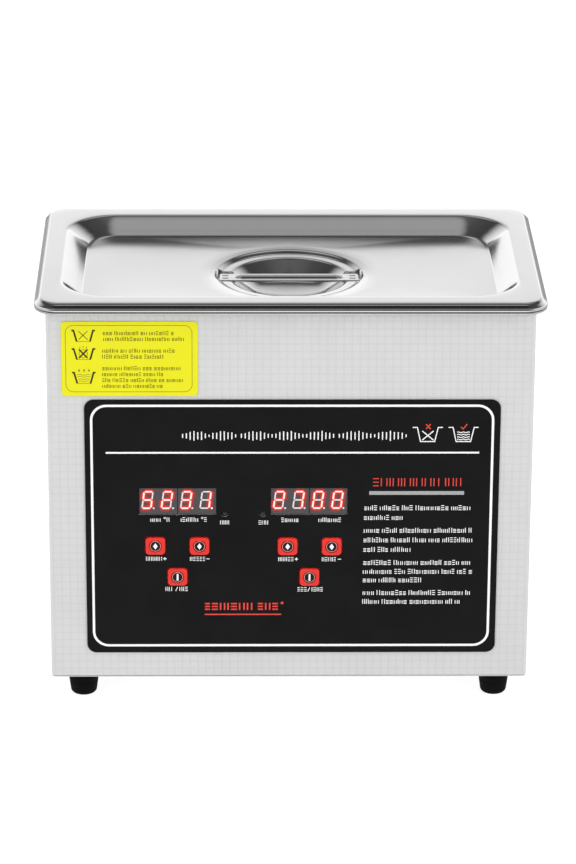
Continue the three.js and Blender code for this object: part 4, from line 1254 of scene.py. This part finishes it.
def make_label():
    cx, cz = (-118.7 - 48.1) / 2, (174.3 + 215.2) / 2
    b = Build().add(slab(35.3, 20.45, 2.2, LABEL_Y, -75.3, 0.05, 0.0, 1, 8, cx, cz, "Y"))
    piece("label_film", b, [LABEL], "housing", ("guidance_label",), smooth=40)
    y0, y1 = LABEL_Y - 0.03, LABEL_Y + 0.02
    k = Build()
    # border
    pts = [rr(32.8 - d, 18.4 - d, 4.2 - d, 8, -83.75, 194.95) for d in (0.0, 0.32)]
    k.add(loft([[at(u, v, y0, "Y") for u, v in pts[0]], [at(u, v, y1, "Y") for u, v in pts[0]], [at(u, v, y1, "Y") for u, v in pts[1]], [at(u, v, y0, "Y") for u, v in pts[1]]], close=True), 1)
    # three tank pictograms: empty, too hot, filled
    for z0, z1 in ((204.4, 210.4), (194.5, 200.3), (181.3, 187.3)):
        tank_icon(k, -113.2, -101.0, z0, z1, (1.05, 1.65), 0.92, y0, y1, foot=True, base_width=0.3, base_mat=1)
    k.line([(-109.6, 210.1), (-104.9, 205.4)], 0.36, y0 - 0.004, y1)
    k.line([(-104.9, 210.1), (-109.6, 205.4)], 0.36, y0 - 0.002, y1)
    k.line([(-109.5, 200.1), (-105.0, 195.3)], 0.8, y0 - 0.006, y1)
    k.line([(-105.0, 200.1), (-109.5, 195.3)], 0.8, y0 - 0.004, y1)
    k.line(circle(2.2, 28, -107.25, 197.7), 0.36, y0 - 0.002, y1, 1, closed=True)
    for d in (-1.7, 0.0, 1.7):
        k.bar(-107.45 + d, -107.05 + d, 200.9 - abs(d) * 0.25, 202.0 - abs(d) * 0.25, y0, y1, 0, 1)
    for z, d in ((186.1, 0.0), (185.0, 0.25), (183.7, 0.6), (182.5, 0.85)):
        k.line(wave(-110.6 + d, -103.6 - d, z, 0.2, 1.5), 0.3, y0, y1, 1)
    for x in (-110.0, -107.4, -104.9):
        k.bar(x, x + 0.9, 187.9, 189.1, y0, y1, 0, 1)
    rows = (
        (-97.1, -60.1, 207.9, 210.1), (-96.8, -53.9, 204.7, 206.9), (-97.4, -59.1, 198.3, 200.5), (-97.5, -65.8, 195.0, 197.2),
        (-97.5, -57.2, 188.6, 190.8), (-97.6, -64.9, 185.4, 187.5), (-97.6, -55.0, 182.1, 184.2), (-97.6, -65.9, 178.9, 181.0),
    )
    for i, (x0, x1, z0, z1) in enumerate(rows):
        greek(k, x0, x1, z0, z1, y0, y1, 0, 200 + i, weight=0.15)
    piece("label_print", k, [LABEL_INK, LABEL_INK_SOFT], "housing", smooth=20)


make_panel()
make_label()


# ============================================================================ displays, lamps, buttons
SEGMENTS = {
    "0": "abcdef", "1": "bc", "2": "abged", "3": "abgcd", "4": "fgbc",
    "5": "afgcd", "6": "afgcde", "7": "abc", "8": "abcdefg", "9": "abcdfg",
}


def make_display(name, x0, x1, text):
    z0, z1 = 107.9, 122.7
    cx, cz = (x0 + x1) / 2, (z0 + z1) / 2
    hx, hz = (x1 - x0) / 2, (z1 - z0) / 2
    b = Build()
    # potted module with a tinted face and ten pins
    b.add(slab(hx, hz, 0.35, -75.4, -74.6, 0.10, 0.0, 2, 3, cx, cz, "Y"), 0)
    b.add(slab(hx - 0.06, hz - 0.06, 0.3, -74.59, -68.4, 0.0, 0.1, 1, 2, cx, cz, "Y"), 1)
    for sz in (-1, 1):
        for k in range(5):
            px = cx + (k - 2) * 2.54
            b.add(box(px - 0.25, px + 0.25, -68.5, -67.35, cz + sz * 5.6 - 0.25, cz + sz * 5.6 + 0.25, 0.08), 2)
    W, HT, t, slant = 5.75, 10.4, 1.12, math.tan(math.radians(7.4))
    zb = 110.9

    def seg(p, q, width, y0, grow, mat, ox):
        p, q = np.array(p, float), np.array(q, float)
        d = (q - p) / np.linalg.norm(q - p)
        nrm = np.array((-d[1], d[0]))
        e = 0.16 - grow
        h = width / 2 + grow
        pts = [p + d * e, p + d * (e + h * 0.85) + nrm * h, q - d * (e + h * 0.85) + nrm * h, q - d * e, q - d * (e + h * 0.85) - nrm * h, p + d * (e + h * 0.85) - nrm * h]
        out = [(ox + u + v * slant, zb + v) for u, v in pts]
        b.add(prism(out, y0, -75.39, "Y"), mat)

    T, B, M = HT - t / 2, t / 2, HT / 2
    l, r = t / 2, W - t / 2
    ends = {
        "a": ((l, T), (r, T)), "b": ((r, M), (r, T)), "c": ((r, B), (r, M)), "d": ((l, B), (r, B)),
        "e": ((l, B), (l, M)), "f": ((l, M), (l, T)), "g": ((l, M), (r, M)),
    }
    for ch, ox in zip(text, (x0 + 0.80, x0 + 10.98)):
        lit = SEGMENTS[ch]
        for i, (s, (p, q)) in enumerate(ends.items()):
            e = i * 0.0006
            if s in lit:
                seg(p, q, t, -75.414 - e, 1.12, 7, ox)
                seg(p, q, t, -75.424 - e, 0.58, 4, ox)
                seg(p, q, t, -75.434 - e, 0.17, 5, ox)
                seg(p, q, t, -75.448, -0.18, 3, ox)
            else:
                # unlit segment, with the faint painted glow of its material
                seg(p, q, t * 0.72, -75.445, -0.02, 6, ox)
        dot = circle(0.52, 14, ox + 6.75, zb + 0.55)
        b.add(prism(dot, -75.45, -75.39, "Y"), 3 if ch == "1" else 6)
    piece("module_" + name, b, [DISPLAY, DISPLAY_BODY, COPPER_PAD, SEG_LIT, HALO_DIM, HALO, SEG_OFF_GLOW, GLOW], "housing", (name,), smooth=30)


def make_led(name, x, z):
    prof = [(0, -75.70)] + [(1.5 * math.sin(a), -74.2 - 1.5 * math.cos(a)) for a in (0.25, 0.5, 0.75, 1.0, 1.25, 1.5)]
    prof += [(1.5, -71.2), (1.9, -71.0), (1.9, -70.2), (1.75, -70.0), (1.5, -69.9), (1.5, -68.0)]
    b = Build().add(lathe(prof + [(0, -68.0)], 36, (x, z), "Y"))
    for s in (-1, 1):
        b.add(box(x + s * 0.75 - 0.22, x + s * 0.75 + 0.22, -68.05, -67.35, z - 0.22, z + 0.22, 0.06), 1)
    piece("lens_" + name, b, [LED_LENS, COPPER_PAD], "housing", (name,), smooth=45)


def make_button(name, x, z, diamond):
    b = Build()
    y = -77.0
    loops = []

    def ring(inset, h, grow=0.0, rad=2.0):
        loops.append([at(u, v, h, "Y") for u, v in rr(5.15 - inset + grow, 4.85 - inset + grow, max(rad - inset + grow * 0.2, 0.3), 6, x, z + 0.3)])

    # back, collar, flank, rolled front edge, and a face that is dished by a hair
    ring(0.3, -72.3, 1.0, 1.2)
    ring(0.0, -72.5, 1.0, 1.2)
    ring(0.0, -73.5, 1.0, 1.2)
    ring(0.2, -73.7, 1.0, 1.2)
    ring(0.0, -73.7)
    ring(0.0, -76.25)
    for k in range(1, 6):
        a = math.pi / 2 * k / 5
        ring(0.75 * (1 - math.cos(a)), -76.25 - 0.75 * math.sin(a))
    ring(1.1, -76.99)
    ring(1.7, -76.93)
    ring(4.4, -76.93)
    b.add(loft(loops), 0)
    f = -76.93
    n = 40
    z += 0.5

    def annulus(r0, r1, y0, mat):
        o, i = circle(r1, n, x, z), circle(r0, n, x, z)
        b.add(loft([[at(u, v, y0, "Y") for u, v in o], [at(u, v, f + 0.02, "Y") for u, v in o], [at(u, v, f + 0.02, "Y") for u, v in i], [at(u, v, y0, "Y") for u, v in i]], close=True), mat)

    # painted shadow and highlight: flat rings, a dark one where the groove would lie in shade and a lighter one where
    # the raised ring would catch light; neither groove nor raised ring is modelled
    annulus(2.98, 3.42, f - 0.020, 1)
    annulus(2.62, 2.84, f - 0.024, 2)
    b.add(prism(circle(2.58, n, x, z), f - 0.022, f + 0.02, "Y"), 3)
    if diamond:
        pts = [(x - 1.22, z), (x, z - 1.8), (x + 1.22, z), (x, z + 1.8)]
        b.add(prism(pts, f - 0.040, f + 0.02, "Y"), 4)
    else:
        b.bar(x - 0.48, x + 0.48, z - 1.9, z + 1.9, f - 0.040, f + 0.02, 0.1, 4)
    piece("cap_" + name, b, [BUTTON_RED, BUTTON_GROOVE_SHADOW, BUTTON_RING_HIGHLIGHT, BUTTON_BLACK, PRINT_WHITE], "button_" + name, ("button_" + name,), smooth=38)


def make_switch(name, x, z):
    """A six-millimetre tactile switch: base, folded steel cover, four rivets, plunger."""
    b = Build()
    b.add(box(x - 2.9, x + 2.9, -69.8, -67.35, z - 2.9, z + 2.9, 0.15), 0)
    b.add(slab(3.0, 3.0, 0.25, -70.7, -69.75, 0.12, 0.0, 2, 2, x, z, "Y"), 1)
    for sx in (-1, 1):
        for sz in (-1, 1):
            b.add(lathe([(0, -70.85), (0.35, -70.82), (0.45, -70.68), (0, -70.6)], 12, (x + sx * 2.25, z + sz * 2.25), "Y"), 0)
    b.add(lathe(fillet([(0, -71.5), (1.7, -71.5), (1.7, -70.6), (0, -70.6)], 0.2), 28, (x, z), "Y"), 0)
    piece("tactile_" + name, b, [PLASTIC, NICKEL], "housing", (name,), smooth=35)


make_display("display_set_temperature", -79.1, -59.15, "52")
make_display("display_actual_temperature", -58.85, -38.7, "31")
make_display("display_minutes", -10.15, 9.95, "27")
make_display("display_seconds", 10.25, 30.05, "00")
for led_name, (lx, lz) in LED.items():
    make_led(led_name, lx, lz)
for button_name, (bx, bz) in BUTTON.items():
    make_button(button_name, bx, bz, not button_name.endswith("on_off"))
    make_switch("switch_" + button_name, bx, bz)


# ============================================================================ control board
def make_control_board():
    front, back = -67.0, -65.4
    ob = mesh_object("front_board", *slab(68, 34.25, 1.5, front, back, 0.08, 0.08, 1, 3, -24, 93.75, "Y"))
    outward(ob.data)
    boolean(ob, [prism(circle(1.8, 20, x, z), -68, -64, "Y") for x, z in STUDS])
    g = random.Random(5)
    b = Build()
    b.v = [tuple(c / MM for c in v.co) for v in ob.data.vertices]
    b.f = [tuple(p.vertices) for p in ob.data.polygons]
    b.m = [0] * len(b.f)
    bpy.data.objects.remove(ob)
    y = back - 0.02

    def chip(x0, x1, z0, z1, h, pins):
        b.add(slab((x1 - x0) / 2, (z1 - z0) / 2, 0.2, y + 0.15, y + h, 0.05, 0.12, 1, 1, (x0 + x1) / 2, (z0 + z1) / 2, "Y"), 1)
        for k in range(pins):
            px = x0 + (x1 - x0) * (k + 0.5) / pins
            for zz, s in ((z0, -1), (z1, 1)):
                b.add(box(px - 0.2, px + 0.2, y, y + 0.9, min(zz, zz + s * 0.9), max(zz, zz + s * 0.9), 0.05), 2)

    chip(-62, -44, 84.8, 95.2, 2.4, 14)
    chip(12, 24, 90.8, 97.2, 1.6, 8)
    # ribbon header: shrouded box with two rows of pins
    b.add(box(-31, -9, y, -58.4, 62, 69, 0.3), 3)
    for k in range(8):
        for dz in (-1.27, 1.27):
            px = -20 + (k - 3.5) * 2.54
            b.add(box(px - 0.3, px + 0.3, -66.9 - 0.35, -66.95 + 0.1, 65.5 + dz - 0.3, 65.5 + dz + 0.3, 0.08), 2)
    # chip resistors and capacitors
    for k in range(26):
        px, pz = -88 + g.random() * 126, 64 + g.random() * 60
        if any(abs(px - ax) < 12 and abs(pz - az) < 8 for ax, az in ((-53, 90), (18, 94), (-20, 65.5))) or any(math.hypot(px - ax, pz - az) < 6 for ax, az in STUDS):
            continue
        b.add(box(px - 0.8, px + 0.8, y, y + 0.5, pz - 0.42, pz + 0.42, 0.06), 1 if k % 2 else 4)
        for s in (-1, 1):
            b.add(box(px + s * 1.0 - 0.24, px + s * 1.0 + 0.24, y, y + 0.42, pz - 0.45, pz + 0.45, 0.06), 2)
    piece("front_board_assembly", b, [PCB, PLASTIC, COPPER_PAD, PLASTIC, FILM_CAP], "housing", ("control_board",), smooth=30)


make_control_board()


# ============================================================================ transducers, heaters, sensors
def make_transducers():
    t = 120.5
    for side, x in (("left", -52.0), ("right", 52.0)):
        base = f"transducer_{side}_"
        prof = fillet([(0, t), (23, t), (23, t - 4), (18, t - 22), (5.3, t - 22), (5.3, t - 12), (0, t - 12)], [0, 0.5, 0.6, 0.5, 0.3, 0.2, 0], 3)
        # fine turning marks on the cone
        out = []
        for r, h in prof:
            out.append((r, h))
        i = max(k for k, p in enumerate(out) if p[0] > 22.2)
        marks = []
        for k in range(1, 20):
            q = k / 20
            marks.append((22.7 - 4.6 * q - (0.06 if k % 2 else 0.0), t - 5.2 - 16.2 * q))
        out = out[: i + 1] + marks + out[i + 1 :]
        piece("horn_" + side, Build().add(lathe(out, 64, (x, 0.0))), [ALUMINIUM], "housing", (base + "front_mass",), smooth=40)
        for which, z1 in (("upper", t - 22.3), ("lower", t - 27.6)):
            b = Build()
            b.add(lathe(fillet([(8, z1 - 4.8), (17.5, z1 - 4.8), (17.5, z1 - 0.2), (8, z1 - 0.2), (8, z1 - 4.8)], 0.25, 2)[:-1], 56, (x, 0.0), closed=True), 0)
            # fired silver electrode rings on both faces
            for h0, h1 in ((z1 - 0.2, z1), (z1 - 5.0, z1 - 4.8)):
                b.add(lathe([(8.6, h0), (16.9, h0), (16.9, h1), (8.6, h1)], 56, (x, 0.0), closed=True), 1)
            piece(f"ceramic_{side}_{which}", b, [PIEZO, SILVER], "housing", (base + which + "_ring",), smooth=40)
        prof = fillet([(5.3, t - 50.5), (16.6, t - 50.5), (17.5, t - 49.6), (17.5, t - 32.9), (5.3, t - 32.9)], 0.35, 3)
        ring = prof[:-1] + [(5.3, t - 32.9)]
        piece("tail_mass_" + side, Build().add(lathe(ring, 56, (x, 0.0), closed=True)), [ZINC], "housing", (base + "back_mass",), smooth=40)
        b = Build()
        shank = [(0, t - 51.2), (5.0, t - 51.2), (5.0, t - 34)] + thread(5.0, t - 34, t - 13, 1.25, 0.35) + [(4.2, t - 12.3), (0, t - 12.3)]
        b.add(lathe(shank, 32, (x, 0.0)))
        # hexagon head with chamfered corners and a washer face
        hexa = [circle(8.6 - d, 6, x, 0.0) for d in (0.9, 0.0, 0.0, 0.9)]
        fine = []
        for d, z in ((1.3, t - 57.5), (0.15, t - 57.0), (0.0, t - 56.8), (0.0, t - 51.4), (0.15, t - 51.2), (1.0, t - 50.8)):
            fine.append([(u, v, z) for u, v in circle(8.6 - d, 6, x, 0.0)])
        b.add(loft(fine))
        piece("clamp_bolt_" + side, b, [ZINC], "housing", (base + "bolt",), smooth=30)


def make_heaters():
    """Moulded silicone pads with the raised track of the heating wire."""
    lean = math.atan2(121.4 - 115.8, 222 - 3.1 - 142)
    mid = (222 - 3.1 + 142) / 2
    face = (121.4 + 115.8) / 2
    for name, side in (("heater_pad_left", -1), ("heater_pad_right", 1)):
        cx = side * (face + 1.3 / math.cos(lean))
        b = Build()

        def put(shell, mat=0):
            verts, faces = shell
            out = []
            for h, u, v in verts:  # h is across the pad, outwards
                px = side * h
                out.append((cx + px * math.cos(side * lean) + v * math.sin(side * lean), u, mid - px * math.sin(side * lean) + v * math.cos(side * lean)))
            b.add((out, faces), mat)

        put(slab(28, 32, 3.0, -1.0, 0.45, 0.2, 0.35, 2, 5, 0, 0, "X"))
        # raised serpentine
        rows = 9
        path = []
        for k in range(rows):
            v = -27 + 54 * k / (rows - 1)
            path += [(-24, v), (24, v)] if k % 2 == 0 else [(24, v), (-24, v)]
        for k in range(len(path) - 1):
            (u0, v0), (u1, v1) = path[k], path[k + 1]
            hx_, hy_ = abs(u1 - u0) / 2 + 0.9, abs(v1 - v0) / 2 + 0.9
            put(slab(hx_, hy_, 0.85, 0.3, 1.0 - 0.002 * (k % 2), 0.0, 0.3, 2, 3, (u0 + u1) / 2, (v0 + v1) / 2, "X"))
        piece("pad_" + name, b, [HEATER], "housing", (name,), smooth=40)


def make_sensors():
    b = Build()
    prof = fillet([(0, -12), (3, -12), (3, 12), (0, 12)], 0.6, 3)
    b.add(lathe(prof, 32, (24.0, 117.4), "X"))
    # folded clip that presses the probe to the tank floor
    strap = []
    for x in (-4.0, 4.0):
        loop = []
        for k in range(13):
            a = math.pi * k / 12
            loop.append((x, 24 + 3.35 * math.cos(a), 117.4 - 3.0 * math.sin(a) * 1.0))
        for k in range(13):
            a = math.pi * (12 - k) / 12
            loop.append((x, 24 + 3.02 * math.cos(a), 117.4 - 2.7 * math.sin(a)))
        strap.append(loop)
    b.add(loft(strap))
    for s in (-1, 1):
        b.add(box(-4.0, 4.0, 24 + s * 3.02, 24 + s * 3.36, 117.3, 120.3, 0.08))
    piece("probe_temperature", b, [ZINC], "housing", ("temperature_sensor",), smooth=40)

    b = Build()
    c = (0.0, -24.0)
    b.add(lathe(fillet([(0, 120.5), (7.6, 120.5), (7.9, 119.6), (8.4, 119.4), (8.4, 118.6), (7.9, 118.4), (7.9, 117.2), (0, 117.2)], 0.15, 2), 48, c), 0)
    b.add(lathe(fillet([(0, 117.3), (7.6, 117.3), (7.6, 114.4), (7.2, 114.0), (0, 114.0)], 0.2, 2), 48, c), 1)
    for s in (-1, 1):
        x0 = s * 5.3
        ob_ = box(x0 - 0.7, x0 + 0.7, -27, -21, 106.2, 114.2, 0.2)
        b.add(ob_, 2)
    piece("capsule_cutout", b, [CUTOUT, PHENOLIC, NICKEL], "housing", ("thermal_cutout",), smooth=40)


make_transducers()
make_heaters()
make_sensors()


# ============================================================================ drive electronics
def make_generator():
    z = 23.3
    ob = mesh_object("power_board", *slab(65, 42.5, 2, z, z + 1.6, 0.08, 0.08, 1, 3, -30, 2.5))
    outward(ob.data)
    boolean(ob, [prism(circle(1.8, 20, x, y), 22, 26) for x, y in ((-90, -35), (-90, 40), (30, -35), (30, 40))])
    b = Build()
    b.v = [tuple(c / MM for c in v.co) for v in ob.data.vertices]
    b.f = [tuple(p.vertices) for p in ob.data.polygons]
    b.m = [0] * len(b.f)
    bpy.data.objects.remove(ob)
    t = z + 1.58
    for x in (-78, -58):
        can = fillet([(0, t), (7.6, t), (8, t + 0.5), (8, t + 2.2), (7.5, t + 2.6), (8, t + 3.0), (8, t + 24.2), (7.3, t + 24.8), (6.6, t + 24.8), (0, t + 24.6)], 0.25, 2)
        b.add(lathe(can, 44, (x, -20.0)), 1)
        b.add(lathe([(0, t + 24.5), (6.4, t + 24.7), (6.4, t + 24.95), (0, t + 24.9)], 36, (x, -20.0)), 2)
    b.add(box(10, 28, 14, 34, t, t + 15, 0.5), 3)
    b.add(box(-83, -57, 14, 34, t, t + 12, 1.0), 4)
    b.add(box(-31, -9, -39, -32, t, t + 8.2, 0.3), 5)
    # output terminals: a green block with three screw wells
    b.add(box(14, 30, -20, -8, t, t + 10, 0.4), 6)
    for k in range(3):
        b.add(lathe([(0, t + 9.95), (1.7, t + 9.95), (1.7, t + 10.12), (0, t + 10.18)], 20, (17 + 5 * k, -14.0)), 2)
    g = random.Random(9)
    for k in range(20):
        px, py = -90 + g.random() * 118, -36 + g.random() * 78
        if any(ax0 - 2 < px < ax1 + 2 and ay0 - 2 < py < ay1 + 2 for ax0, ax1, ay0, ay1 in ((-88, -48, -30, -10), (10, 28, 14, 34), (-83, -57, 14, 34), (-31, -9, -39, -32), (14, 30, -20, -8), (-44, -4, 22, 44), (-42, -6, -16, 14), (-95, -85, -40, -30), (-95, -85, 35, 45), (25, 35, -40, -30), (25, 35, 35, 45))):
            continue
        b.add(box(px - 1.6, px + 1.6, py - 0.8, py + 0.8, t, t + 0.9, 0.1), 7 if k % 2 else 4)
    piece("power_board_assembly", b, [PCB, CAP_SLEEVE, COPPER_PAD, RELAY_BLUE, FILM_CAP, PLASTIC, TERMINAL, PLASTIC], "housing", ("generator_board",), smooth=32)

    h = 25.2
    # extruded heat sink: one outline with serrated fins, drawn in (x, z) and run along y
    out = [(-44.0, h), (-4.0, h)]
    up = []
    for i in range(6):
        x0 = -44 + 7.6 * i
        up.append((x0, h + 4.0 if i else h + 3.9))
        for k in range(6):
            zz = h + 6 + k * 3.6
            up += [(x0, zz), (x0 + 0.25, zz + 0.9), (x0, zz + 1.8)]
        up += [(x0 + 0.3, h + 27.7), (x0 + 0.6, h + 28), (x0 + 1.4, h + 28), (x0 + 1.7, h + 27.7)]
        for k in range(5, -1, -1):
            zz = h + 6 + k * 3.6
            up += [(x0 + 2, zz + 1.8), (x0 + 1.75, zz + 0.9), (x0 + 2, zz)]
        if i < 5:
            up.append((x0 + 2, h + 4.0))
    outline = [(-4.0, h)] + [(-4.0, h + 3.9)] + up[::-1][0:] + [(-44.0, h)]
    clean = []
    for p in outline:
        if not clean or math.hypot(p[0] - clean[-1][0], p[1] - clean[-1][1]) > 1e-6:
            clean.append(p)
    piece("finned_sink", Build().add(prism(clean, 22, 44, "Y")), [ALUMINIUM], "housing", ("heat_sink",), smooth=20)

    b = Build()
    b.add(box(-40, -8, -14, 12, h, h + 8, 0.5), 0)
    b.add(box(-40, -8, -14, 12, h + 20, h + 28, 0.5), 0)
    for x0, x1 in ((-40, -34), (-14, -8)):
        b.add(box(x0, x1, -14, 12, h + 7.9, h + 20.1, 0.3), 0)
    wind = [(0, h + 8.05)]
    for k in range(12):
        zz = h + 8.3 + k * 0.97
        wind += [(9.1, zz), (9.5, zz + 0.48), (9.1, zz + 0.95)]
    wind += [(0, h + 19.95)]
    b.add(lathe(wind, 44, (-24.0, -1.0)), 1)
    piece("cored_transformer", b, [FERRITE, TAPE], "housing", ("output_transformer",), smooth=30)


def make_ribbon():
    """A flat cable of sixteen cores, the first one marked."""
    mid = [(-58.1 + 0.05, 65.5)]
    c = (-43.5, 57.5)
    for k in range(13):
        a = math.pi / 2 - (math.pi / 2) * (k / 12)
        mid.append((c[0] + 8 * math.cos(a), c[1] + 8 * math.sin(a)))
    for k in range(1, 6):
        mid.append((-35.5, 57.5 + (33.05 - 57.5) * k / 5))
    cores = 16
    pitch = 18 / cores
    b = Build()
    for s in range(cores):
        x = -29 + pitch * (s + 0.5)
        loops = []
        for i, (y, z) in enumerate(mid):
            p, q = mid[max(0, i - 1)], mid[min(len(mid) - 1, i + 1)]
            l = math.hypot(q[0] - p[0], q[1] - p[1])
            ny, nz = -(q[1] - p[1]) / l, (q[0] - p[0]) / l
            loop = []
            for k in range(8):
                a = 2 * math.pi * k / 8
                dx, dn = 0.545 * math.cos(a), 0.50 * math.sin(a)
                loop.append((x + dx, y + ny * dn, z + nz * dn))
            loops.append(loop)
        b.add(loft(loops), 1 if s == 0 else 0)
    # web that joins the cores
    loops = []
    for i, (y, z) in enumerate(mid):
        p, q = mid[max(0, i - 1)], mid[min(len(mid) - 1, i + 1)]
        l = math.hypot(q[0] - p[0], q[1] - p[1])
        ny, nz = -(q[1] - p[1]) / l, (q[0] - p[0]) / l
        loops.append([(-28.6, y + ny * 0.2, z + nz * 0.2), (-11.4, y + ny * 0.2, z + nz * 0.2), (-11.4, y - ny * 0.2, z - nz * 0.2), (-28.6, y - ny * 0.2, z - nz * 0.2)])
    b.add(loft(loops), 0)
    piece("flat_cable", b, [RIBBON, RIBBON_RED], "housing", ("ribbon_cable",), smooth=60)


make_generator()
make_ribbon()


# ============================================================================ mains inlet
def make_inlet():
    x, z = 70.0, 52.0
    face = 78.0
    ob = mesh_object("inlet_body", *slab(25, 19, 4, 75.3, face, 0.0, 0.6, 3, 8, x, z, "Y"))
    outward(ob.data)
    boolean(ob, [slab(13.7, 16, 1.2, 51, 75.6, 0.4, 0.0, 2, 3, x, z, "Y")], "UNION")
    socket = [(x - 12.1, z - 1.75), (x + 12.1, z - 1.75), (x + 12.1, z + 9.75), (x + 7.1, z + 14.75), (x - 7.1, z + 14.75), (x - 12.1, z + 9.75)]
    boolean(ob, [prism(socket, 61, face + 1, "Y"), prism(rr(12.3, 4.8, 0.3, 2, x, z - 9.5), 56, face + 1, "Y")])
    # lead-in chamfer round the socket, then the pins' slots and the screws' countersinks
    wide = [(x + (u - x) * 1.05, (z + 6.5) + (v - z - 6.5) * 1.07) for u, v in socket]
    boolean(ob, [loft([[at(u, v, face + 0.2, "Y") for u, v in wide], [at(u, v, face - 0.75, "Y") for u, v in socket]])])
    pins = {"inlet_pin_line": (x - 7, z + 3.5), "inlet_pin_neutral": (x + 7, z + 3.5), "inlet_pin_earth": (x, z + 9.5)}
    boolean(ob, [prism(rr(1.3, 2.3, 0.2, 1, px, pz), 49, 62, "Y") for px, pz in pins.values()])
    boolean(ob, [prism(circle(1.8, 24, x + s * 20, z), 74, face + 1, "Y") for s in (-1, 1)])
    dress(ob, [PLASTIC], "housing", ("power_inlet",), smooth=35)

    for name, (px, pz) in pins.items():
        loops = []
        for inset, y in ((0.0, 43.0), (0.0, 72.2), (0.18, 72.9), (0.6, 73.3)):
            loops.append([at(u, v, y, "Y") for u, v in rr(1 - inset, 2 - inset, 0.3, 2, px, pz)])
        piece("blade_" + name, Build().add(loft(loops)), [NICKEL], "housing", (name,), smooth=35)

    dz = z - 9.5
    ob = mesh_object("drawer", *slab(12, 4.5, 0.5, 56.3, face + 1, 0.2, 0.45, 3, 3, x, dz, "Y"))
    outward(ob.data)
    boolean(ob, [box(x - 10.6, x + 10.6, 58, 75.5, dz - 2.9, dz + 6, 0.3)])
    boolean(ob, [slab(6, 0.8, 0.6, face - 0.2, face + 2, 0, 0, 1, 3, x, dz - 2.4, "Y")])
    # grip ribs on the face
    boolean(ob, [prism(rr(0.18, 1.6, 0.1, 1, x - 6 + 1.5 * k, dz + 1.4), face + 0.75, face + 2, "Y") for k in range(9)])
    dress(ob, [PLASTIC], "fuse_drawer", ("fuse_drawer",), smooth=35)

    for name, s in (("inlet_screw_left", -1), ("inlet_screw_right", 1)):
        c = (x + 20 * s, z)
        prof = [(0, 68.2), (1.2, 68.2)] + thread(1.5, 68.4, 78.0, 0.6, 0.16) + [(1.5, 78.3), (3.0, 78.3)]
        prof += [(3.0 * math.cos(a), 78.7 + 1.3 * math.sin(a)) for a in (0.0, 0.35, 0.7, 1.05, 1.35)] + [(0, 80.0)]
        ob = mesh_object("machine_screw_" + name, *lathe(prof, 32, c, "Y"))
        outward(ob.data)
        for blade in cross_recess(c, 79.0, 81, "Y", 1.5, 0.32):
            boolean(ob, [blade])
        dress(ob, [ZINC], "housing", (name,), smooth=35)


make_inlet()


# ============================================================================ done
def plain(pair):
    return [[float(v) for v in p] for p in pair]
